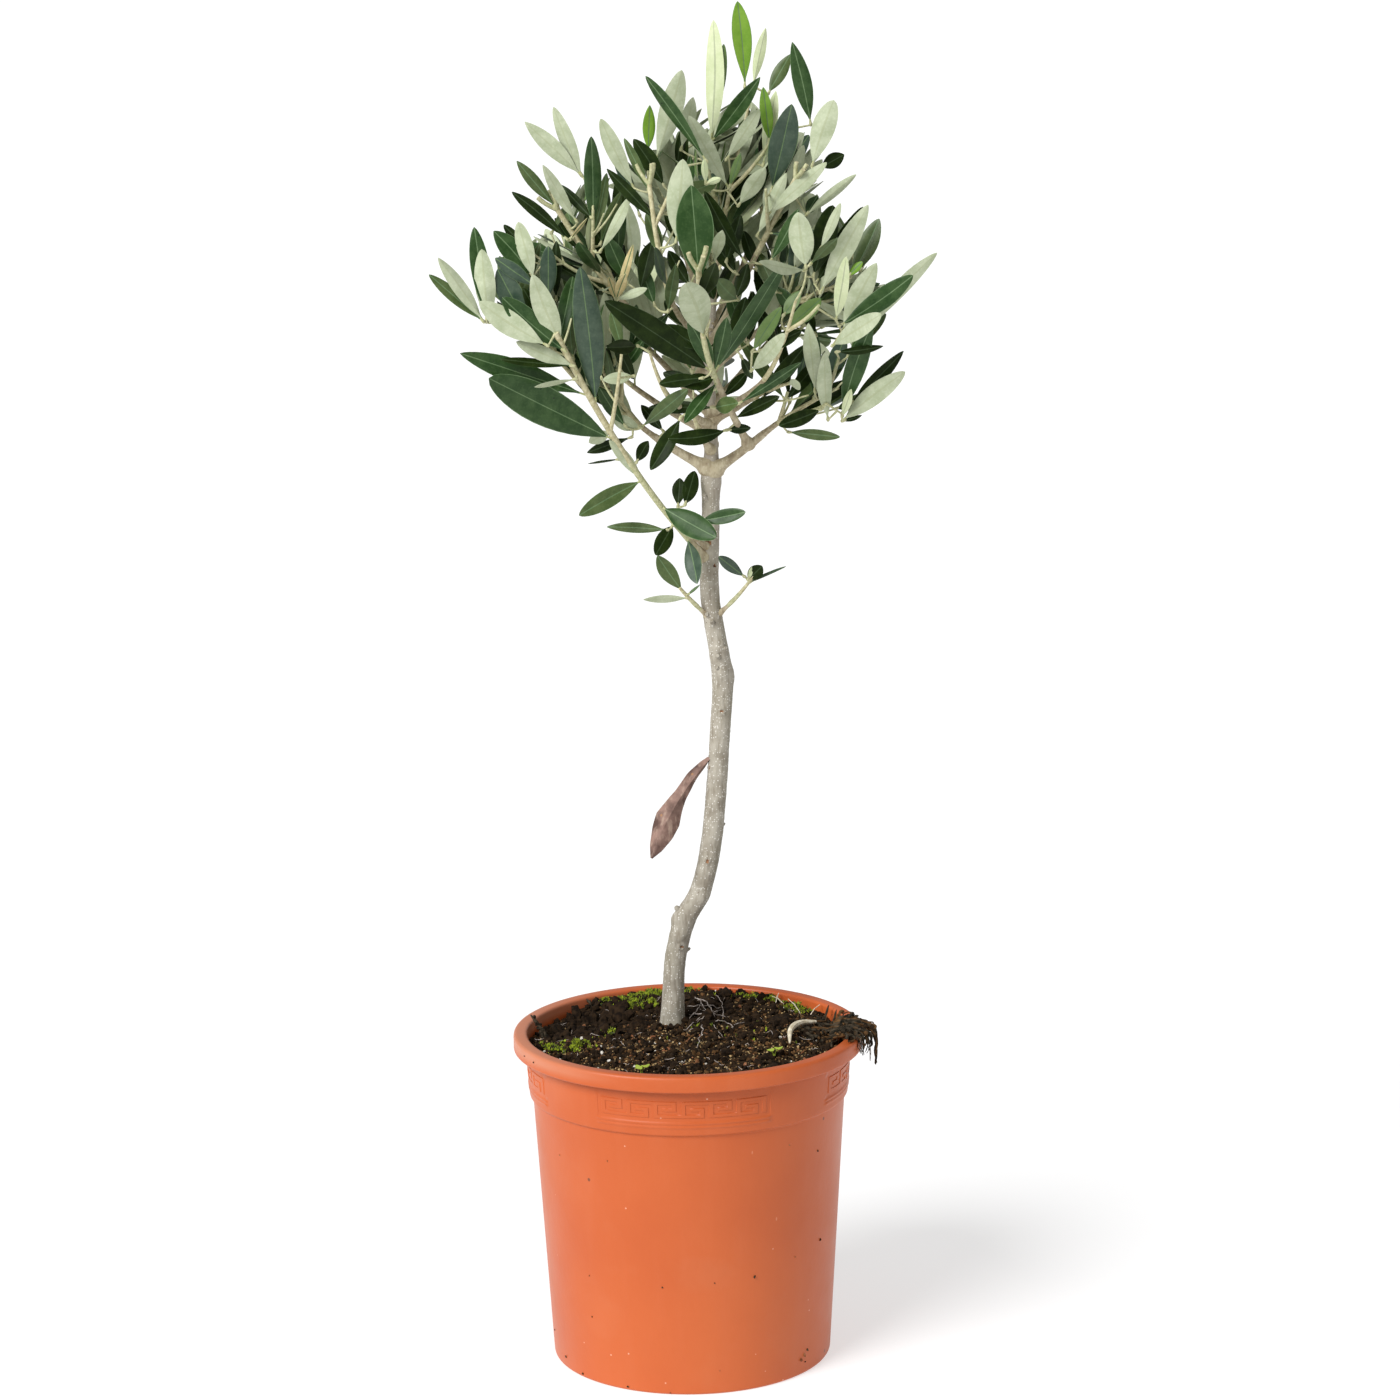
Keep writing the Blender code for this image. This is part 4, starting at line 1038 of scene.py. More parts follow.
bark = Finish("bark", Roughness=0.9, Specular_IOR_Level=0.3)
here = bark.place
streaks = here.stretched(1.0, 1.0, 0.14).clouds(700.0, 4.0)
mottle = here.clouds(170.0, 4.0)
shade = here.stretched(1.0, 1.0, 0.35).clouds(60.0, 3.0)
colour = mottle.above(0.35, 0.3).mixed((0.275, 0.245, 0.195), (0.385, 0.355, 0.295))
colour = (streaks.above(0.52, 0.14) * 0.35).mixed(colour, (0.46, 0.43, 0.36))
colour = ((1 - streaks.above(0.33, 0.12)) * 0.45).mixed(colour, (0.15, 0.12, 0.08))
colour = (shade.above(0.48, 0.18) * 0.4).mixed(colour, (0.195, 0.18, 0.12))
colour = (here.specks(1000.0, 0.34, 0.42) * 0.85).mixed(colour, (0.72, 0.7, 0.64))
colour = (here.specks(520.0, 0.2, 0.07) * 0.75).mixed(colour, (0.105, 0.06, 0.035))
upper = (here.node("SeparateXYZ", {}, {0: here}, 2) - 0.36) * 8.0
colour = (upper.above(0.0, 1.0) * 0.45).mixed(colour, (0.56, 0.5, 0.43))
bark.paint(colour)
bark.relief(streaks * 0.8 + here.clouds(1500.0, 3.0) * 0.8 + mottle * 0.4, 0.0002, 0.7)

scar_wood = Finish("scar_wood", Roughness=0.85)
grain = scar_wood.place.clouds(800.0, 4.0).above(0.35, 0.3)
scar_wood.paint(grain.mixed((0.085, 0.038, 0.018), (0.3, 0.15, 0.07)))
scar_wood.relief(scar_wood.place.clouds(1600.0, 3.0), 0.0003, 0.8)

bough_bark = Finish("bough_bark", Roughness=0.85, Specular_IOR_Level=0.3)
here = bough_bark.place
streaks = here.stretched(1.0, 1.0, 0.3).clouds(600.0, 4.0)
colour = here.clouds(190.0, 4.0).above(0.35, 0.3).mixed((0.33, 0.27, 0.175), (0.5, 0.435, 0.3))
colour = (streaks.above(0.5, 0.16) * 0.5).mixed(colour, (0.62, 0.57, 0.41))
colour = ((1 - streaks.above(0.34, 0.12)) * 0.4).mixed(colour, (0.17, 0.12, 0.075))
colour = (here.specks(900.0, 0.28, 0.22) * 0.6).mixed(colour, (0.62, 0.58, 0.48))
bough_bark.paint(colour)
bough_bark.relief(streaks + here.clouds(1500.0, 3.0) * 0.6, 0.00018, 0.6)


def scar_picks(points, faces):
    """Bare wood inside the scars, bark everywhere else."""
    path = smooth_path(TRUNK_AXIS, BARK_STEPS)
    rings = []
    for height, bearing, radius in SCARS:
        rings.append((axis_point(path, height) + facing(bearing) * trunk_girth(height), 0.62 * radius))
    picks = []
    for face in faces:
        middle = sum((points[i] for i in face), Vector()) / len(face)
        picks.append(1 if any((middle - ring).length < radius for ring, radius in rings) else 0)
    return picks


points, faces = build_trunk()
trunk = make_piece("trunk_bark", points, faces, [bark, scar_wood], scar_picks(points, faces), sharp=60.0)
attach(trunk, "root")
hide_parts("trunk")
for name, *_ in BOUGHS:
    bough = make_piece(f"bough_{name}_bark", *build_bough(name), [bough_bark], sharp=60.0)
    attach(bough, "root")
    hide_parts(f"bough_{name}")


# Snags on the trunk: stubs of old shoots, each cut or broken short
SNAGS = (
    # height on the trunk, bearing, length, radius, rise
    (0.218, 192, 0.003, 0.0013, 0.9), (0.3445, 262, 0.003, 0.0012, 0.2),
    (0.339, 250, 0.0022, 0.0009, 0.1), (0.348, 305, 0.002, 0.0009, 0.4),
    (0.361, 262, 0.003, 0.0011, 0.5), (0.365, 240, 0.0022, 0.0009, 0.2),
    (0.421, 235, 0.003, 0.001, 0.7), (0.413, 330, 0.0026, 0.0009, 0.6),
    (0.198, 350, 0.002, 0.0008, 0.4), (0.26, 20, 0.0018, 0.0007, 0.5),
    (0.315, 100, 0.003, 0.0009, 0.6), (0.382, 80, 0.004, 0.001, 0.8))


def build_snags():
    """Short stubs that lean upwards out of the bark, rough at their ends."""
    rng = random.Random(63)
    path = smooth_path(TRUNK_AXIS, BARK_STEPS)
    heap = Heap()
    for height, bearing, length, radius, rise in SNAGS:
        axis = axis_point(path, height)
        out = (facing(bearing) + up(rise)).normalized()
        start = axis + facing(bearing) * (trunk_girth(height) - 0.0006)
        shares = (0.0, 0.25, 0.5, 0.75, 1.0)
        spots = [start + out * length * t + up(0.0006 * t * t) for t in shares]
        girths = [radius * g * rng.uniform(0.9, 1.1) for g in (1.7, 1.15, 1.0, 1.05, 0.7)]
        heap.add(*tube(spots, girths, 9))
    return heap


snags = build_snags().piece("snags", [bark])
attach(snags, "root")


# ---- Crown -----------------------------------------------------------------------------------------
# Each bough carries one mass of foliage: a stem that grows on from the bough's tip, side shoots that
# turn up to the light, and opposite pairs of leathery leaves, each pair turned across the last.
GAP = 0.0003
BOUGH_CAD_SIDES = 7
TRUNK_CAD_SIDES = 10

# Masses of foliage: name, tip of its stem, side shoots, mean leaf length, seed, and how young its
# leaves are, from 0 to 1. Each one grows on the bough of its name, and the top one on the trunk's tip.
MASSES = (
    ("low_left", (-0.056, -0.045, 0.506), 4, 0.054, 31, 0.15),
    ("left", (-0.036, -0.012, 0.486), 4, 0.044, 2, 0.2),
    ("right_low", (0.08, -0.012, 0.478), 4, 0.047, 3, 0.35),
    ("front", (0.01, -0.062, 0.536), 3, 0.05, 4, 0.2),
    ("front_left", (-0.013, -0.04, 0.496), 3, 0.048, 5, 0.15),
    ("front_low", (0.005, -0.034, 0.471), 2, 0.042, 6, 0.25),
    ("right_inner", (0.052, -0.03, 0.48), 2, 0.044, 7, 0.2),
    ("centre_right", (0.054, -0.055, 0.52), 3, 0.048, 8, 0.25),
    ("upper_left", (-0.055, -0.028, 0.562), 4, 0.046, 9, 0.25),
    ("inner_left", (-0.012, -0.045, 0.574), 3, 0.046, 10, 0.25),
    ("top_left", (-0.006, 0.022, 0.586), 3, 0.046, 11, 0.3),
    ("top", (0.035, 0.004, 0.608), 4, 0.048, 12, 0.75),
    ("right_up", (0.056, -0.018, 0.574), 3, 0.046, 13, 0.45),
    ("top_right", (0.048, 0.034, 0.588), 3, 0.046, 14, 0.55),
    ("right", (0.09, 0.0, 0.526), 4, 0.048, 15, 0.4),
    ("back_left", (-0.056, 0.074, 0.524), 4, 0.048, 16, 0.2),
    ("back_right", (0.072, 0.07, 0.52), 4, 0.048, 17, 0.25),
    ("back_low", (0.02, 0.08, 0.476), 3, 0.044, 18, 0.2),
    ("back", (0.014, 0.078, 0.562), 4, 0.048, 19, 0.3),
    ("left_back", (-0.066, 0.034, 0.514), 3, 0.046, 23, 0.2),
    ("low_inner", (-0.022, -0.016, 0.422), 0, 0.032, 22, 0.4),
    ("sprout_left", (-0.004, -0.004, 0.384), 0, 0.024, 20, 0.5),
    ("sprout_right", (0.035, 0.004, 0.385), 0, 0.022, 21, 0.5),
)
STEM_RADIUS = 0.0011
TWIG_TIP_RADIUS = 0.0005
TWIG_SIDES = 3
STEM_STEPS = 5
SHOOT_STEPS = 3

LEAF_SPACING = 0.015
TRUE_WIDTH = 0.8
LEAF_WIDTH = 0.3
LEAF_THICKNESS = 0.02
LEAF_ROOT = 0.0005
PAIR_TURN = 90.0
LEAF_ANGLE = 48.0
TIP_ANGLE = 24.0
LENGTH_SPREAD = (0.86, 1.14)
WIDTH_SPREAD = (0.84, 1.12)
ANGLE_SPREAD = 9.0
ANGLE_FALL = 12.0
ROLL_SPREAD = 45.0
PAIR_SPREAD = 14.0
LEAF_LIFT = (0.05, 0.35)
SHORTEST_PAIR = 0.8
LONGEST_PAIR = 1.08
LAST_PAIR = 0.97

STEM_STIFFNESS = 0.4
SHOOTS_FROM = 0.22
SHOOTS_TO = 0.78
SHOOT_TURN = 137.5
SHOOT_AHEAD = 0.8
SHOOT_ASIDE = 0.62
SHOOT_LIFT = 0.25
SHOOT_SHARE = (0.38, 0.52)
SHOOT_FALL = 0.35
LONGEST_SHOOT = 0.055
SHOOT_GIRTH = 0.75

ROOM = 0.0006
TRIES = 12
FULL_SIZE_TRIES = 4
SMALLER = 0.78
JOINED_SHARE = 0.22

# The unit leaf that keeps the leaves apart, and the finer sprigs
LEAF_CORNERS = ((0, 0, 0), (0, 0.45, -1), (0.5, 0.45, 0), (-0.5, 0.45, 0), (0, 1, 0))
LEAF_FACES = ((0, 1, 2), (0, 2, 3), (0, 3, 1), (4, 2, 1), (4, 3, 2), (4, 1, 3))
LEAF_FIRST = 1000
SPRIG_FIRST = 100
SPRIG_SPACING = 0.012
SPRIG_SPAN = (0.15, 0.98)
SPRIG_LENGTH = (0.012, 0.024)
SPRIG_GIRTHS = (0.00055, 0.00045, 0.00035)
SHOWING_GIRTHS = (0.00055, 0.0005, 0.00045, 0.0004, 0.0004)
SPRIG_LEAF = 0.78
SPRIG_TRIES = 4


def carrier(name):
    """The limb that carries a mass."""
    return name if name in limbs else "trunk"


def path_length(path):
    """The length of a path along its points."""
    return sum((b - a).length for a, b in zip(path, path[1:]))


def along_path(path, share):
    """The point at this share of a path's points, and the direction there."""
    place = share * (len(path) - 1)
    low = min(int(place), len(path) - 2)
    return path[low].lerp(path[low + 1], place - low), (path[low + 1] - path[low]).normalized()


class Thicket:
    """All that has grown so far, as small closed shapes to keep clear of."""

    def __init__(self):
        self.shapes = []

    def shape(self, points, faces):
        """A shape's middle, its reach from there and its faces."""
        centre = sum(points, Vector()) / len(points)
        return centre, max((point - centre).length for point in points), BVHTree.FromPolygons(points, faces)

    def add(self, mass, twig, points, faces):
        """Notes a shape, the mass it belongs to and its twig."""
        self.shapes.append((mass, twig, *self.shape(points, faces)))

    def free(self, points, faces, skip):
        """True where the shape crosses nothing, leaving out what skip(mass, twig) names."""
        centre, reach, tree = self.shape(points, faces)
        for mass, twig, other, other_reach, other_tree in self.shapes:
            if (other - centre).length < reach + other_reach and not skip(mass, twig):
                if tree.overlap(other_tree):
                    return False
        return True


def leaf_placement(root, out, face):
    """A leaf's turn and place: +Y along the leaf, +Z out of its upper side."""
    across = out.cross(face).normalized()
    upper = across.cross(out).normalized()
    turn = Matrix((across, out, upper)).transposed().to_4x4()
    return Matrix.Translation(root) @ turn


def stretched(placement, start, length, width, room=0.0):
    """The matrix that makes the unit leaf this long and wide, set off by start, with room round it."""
    thickness = length * LEAF_THICKNESS
    sizes = Matrix.Diagonal((width + 2 * room, length, thickness + 2 * room, 1.0))
    return placement @ Matrix.Translation((0.0, start, room)) @ sizes


def unit_leaf(matrix):
    """The unit leaf's corners, set in place."""
    return [matrix @ Vector(corner) for corner in LEAF_CORNERS]


def grow_shoot(thicket, mass, twig, path, radii, own):
    """Notes a side shoot in the thicket if it is clear of all other masses, twigs and limbs."""
    wide = [radius + ROOM for radius in radii]
    points, faces = tube(path, wide, TWIG_SIDES)
    if not thicket.free(points, faces, lambda m, t: m in (mass, own)):
        return False
    points, faces = tube(path[1:], wide[1:], TWIG_SIDES)
    if not thicket.free(points, faces, lambda m, t: m != mass):
        return False
    thicket.add(mass, twig, *tube(path, radii, TWIG_SIDES))
    return True


def grow_leaf(thicket, mass, twig, root, ahead, side, angle, length, rng, showing, box=None):
    """The placement and size of one leaf that has room, or None."""
    for attempt in range(TRIES):
        if attempt >= FULL_SIZE_TRIES:
            side = Matrix.Rotation(rng.uniform(0, 2 * math.pi), 3, ahead) @ side
        lean = math.radians(angle + rng.uniform(-ANGLE_SPREAD, ANGLE_SPREAD) * (1 + 0.5 * attempt))
        out = (ahead * math.cos(lean) + side * math.sin(lean)).normalized()
        out = (out + up(rng.uniform(*LEAF_LIFT))).normalized()
        face = ahead + up(0.5)
        roll = Matrix.Rotation(math.radians(rng.uniform(-ROLL_SPREAD, ROLL_SPREAD)), 3, out)
        size = length * rng.uniform(*LENGTH_SPREAD) * (1.0 if attempt < FULL_SIZE_TRIES else SMALLER)
        width = size * LEAF_WIDTH * rng.uniform(*WIDTH_SPREAD)
        placement = leaf_placement(root, out, roll @ face)
        whole = stretched(placement, -LEAF_ROOT, size, width, ROOM)
        points = unit_leaf(whole)
        if box is not None and not all(box[0][k] < points[4][k] < box[1][k] for k in range(3)):
            continue
        spots = [root + out * size * share for share in (0.25, 0.5, 0.75, 1.0)]
        if not in_place(spots) or covers(spots, showing):
            continue
        if not thicket.free(points, LEAF_FACES, lambda m, t: m == mass):
            continue
        outer = stretched(placement, JOINED_SHARE * size, (1 - JOINED_SHARE) * size, width, ROOM)
        if not thicket.free(unit_leaf(outer), LEAF_FACES, lambda m, t: m != mass or t == twig):
            continue
        true = stretched(placement, -LEAF_ROOT, size, width)
        thicket.add(mass, twig + LEAF_FIRST, unit_leaf(true), LEAF_FACES)
        return placement, size, width
    return None


def dress_twig(thicket, mass, twig, path, turn, length, rng, showing, box=None):
    """Opposite pairs of leaves along a twig, with a close pair at its tip."""
    pairs = max(2, round(path_length(path) / LEAF_SPACING))
    leaves = []
    side = None
    for pair in range(1, pairs + 1):
        t = pair / pairs * LAST_PAIR
        root, ahead = along_path(path, t)
        side = ahead.orthogonal() if side is None else side
        side = (side - ahead * side.dot(ahead)).normalized()
        twist = turn + PAIR_TURN * pair + rng.uniform(-PAIR_SPREAD, PAIR_SPREAD)
        swing = Matrix.Rotation(math.radians(twist), 3, ahead)
        angle = TIP_ANGLE if pair == pairs else LEAF_ANGLE - ANGLE_FALL * t
        middle = math.sin(math.pi * min(1.0, t + 0.15))
        full = SHORTEST_PAIR + (LONGEST_PAIR - SHORTEST_PAIR) * middle
        for hand in (1, -1):
            out = swing @ side * hand
            leaf = grow_leaf(thicket, mass, twig, root, ahead, out, angle, length * full, rng, showing, box)
            if leaf is not None:
                leaves.append((*leaf, t, None))
    return leaves


def stem_path(name, tip):
    """A mass's stem: it goes on from its limb's tip and bends towards its own tip."""
    path = limbs[carrier(name)][0]
    ahead = (path[-1] - path[-2]).normalized()
    start = path[-1] + ahead * GAP
    reach = (Vector(tip) - start).length
    return bent_path(start, start + ahead * STEM_STIFFNESS * reach, Vector(tip), STEM_STEPS)


def shoot_path(stem, order, count, rng):
    """A side shoot: it leaves the stem at a slant and turns up towards the light."""
    t = SHOOTS_FROM + (SHOOTS_TO - SHOOTS_FROM) * order / max(1, count - 1)
    root, ahead = along_path(stem, t)
    turn = Matrix.Rotation(math.radians(SHOOT_TURN * order + rng.uniform(20, 60)), 3, ahead)
    side = turn @ ahead.orthogonal().normalized()
    length = min(LONGEST_SHOOT, path_length(stem) * rng.uniform(*SHOOT_SHARE)) * (1.1 - SHOOT_FALL * t)
    out = (ahead * SHOOT_AHEAD + side * SHOOT_ASIDE).normalized()
    end = root + (out + up(SHOOT_LIFT)).normalized() * length
    return bent_path(root, root + out * length * 0.5, end, SHOOT_STEPS)


def tapered(radius, steps):
    """Radii that fall evenly from a twig's foot to its tip."""
    return [radius + (TWIG_TIP_RADIUS - radius) * i / steps for i in range(steps + 1)]


# The knots of that plain trunk: height, bearing, how far out, reach
PLAIN_KNOTS = ((0.2155, 190, 0.0026, 0.0045), (0.335, 20, 0.0012, 0.006), (0.276, 300, 0.0008, 0.004),
               (0.344, 240, 0.001, 0.005), (0.43, 180, 0.001, 0.006), (0.43, 0, 0.001, 0.006))


def plain_trunk():
    """The trunk without the bark's relief, to keep the foliage clear of it."""
    path = limbs["trunk"][0]
    flare = [ROOT_FLARE * math.exp(-(spot.z - path[0].z) / FLARE_HEIGHT) for spot in path]
    girths = [trunk_girth(spot.z) + wider + GAP for spot, wider in zip(path, flare)]
    points, faces = tube(path, girths, TRUNK_CAD_SIDES)
    for i, spot in enumerate(path):
        for k in range(TRUNK_CAD_SIDES):
            outward = (points[i * TRUNK_CAD_SIDES + k] - spot).normalized()
            for height, bearing, swell, reach in PLAIN_KNOTS:
                near = math.exp(-((spot.z - height) / reach) ** 2)
                near *= max(0.0, outward.dot(facing(bearing))) ** 3
                points[i * TRUNK_CAD_SIDES + k] += outward * swell * near
    for k in range(TRUNK_CAD_SIDES):
        points[k].z = path[0].z
    return points, faces


def grow_sprigs(thicket, name, length, seed, twigs, showing):
    """Short third-order twigs with smaller leaves, in the room left within the mass's own box."""
    rng = random.Random(2000 + seed)
    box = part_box(f"leaves_{name}")
    sprigs = []
    leaves = []
    for path, _ in twigs:
        for _ in range(round(path_length(path) / SPRIG_SPACING)):
            for _ in range(SPRIG_TRIES):
                root, ahead = along_path(path, rng.uniform(*SPRIG_SPAN))
                swing = Matrix.Rotation(rng.uniform(0, 6.28), 3, ahead)
                out = (ahead * 0.7 + swing @ ahead.orthogonal().normalized() * 0.7).normalized()
                reach = rng.uniform(*SPRIG_LENGTH)
                end = root + (out + up(SHOOT_LIFT)).normalized() * reach
                sprig = bent_path(root, root + out * reach * 0.5, end, 2)
                twig = SPRIG_FIRST + len(sprigs)
                if in_place(sprig) and grow_shoot(thicket, name, twig, sprig, SPRIG_GIRTHS, None):
                    sprigs.append((sprig, SPRIG_GIRTHS))
                    break
    for number, (path, _) in enumerate(sprigs, SPRIG_FIRST):
        turn = rng.uniform(0, 90)
        leaves += dress_twig(thicket, name, number, path, turn, length * SPRIG_LEAF, rng, showing, box)
    return sprigs, leaves


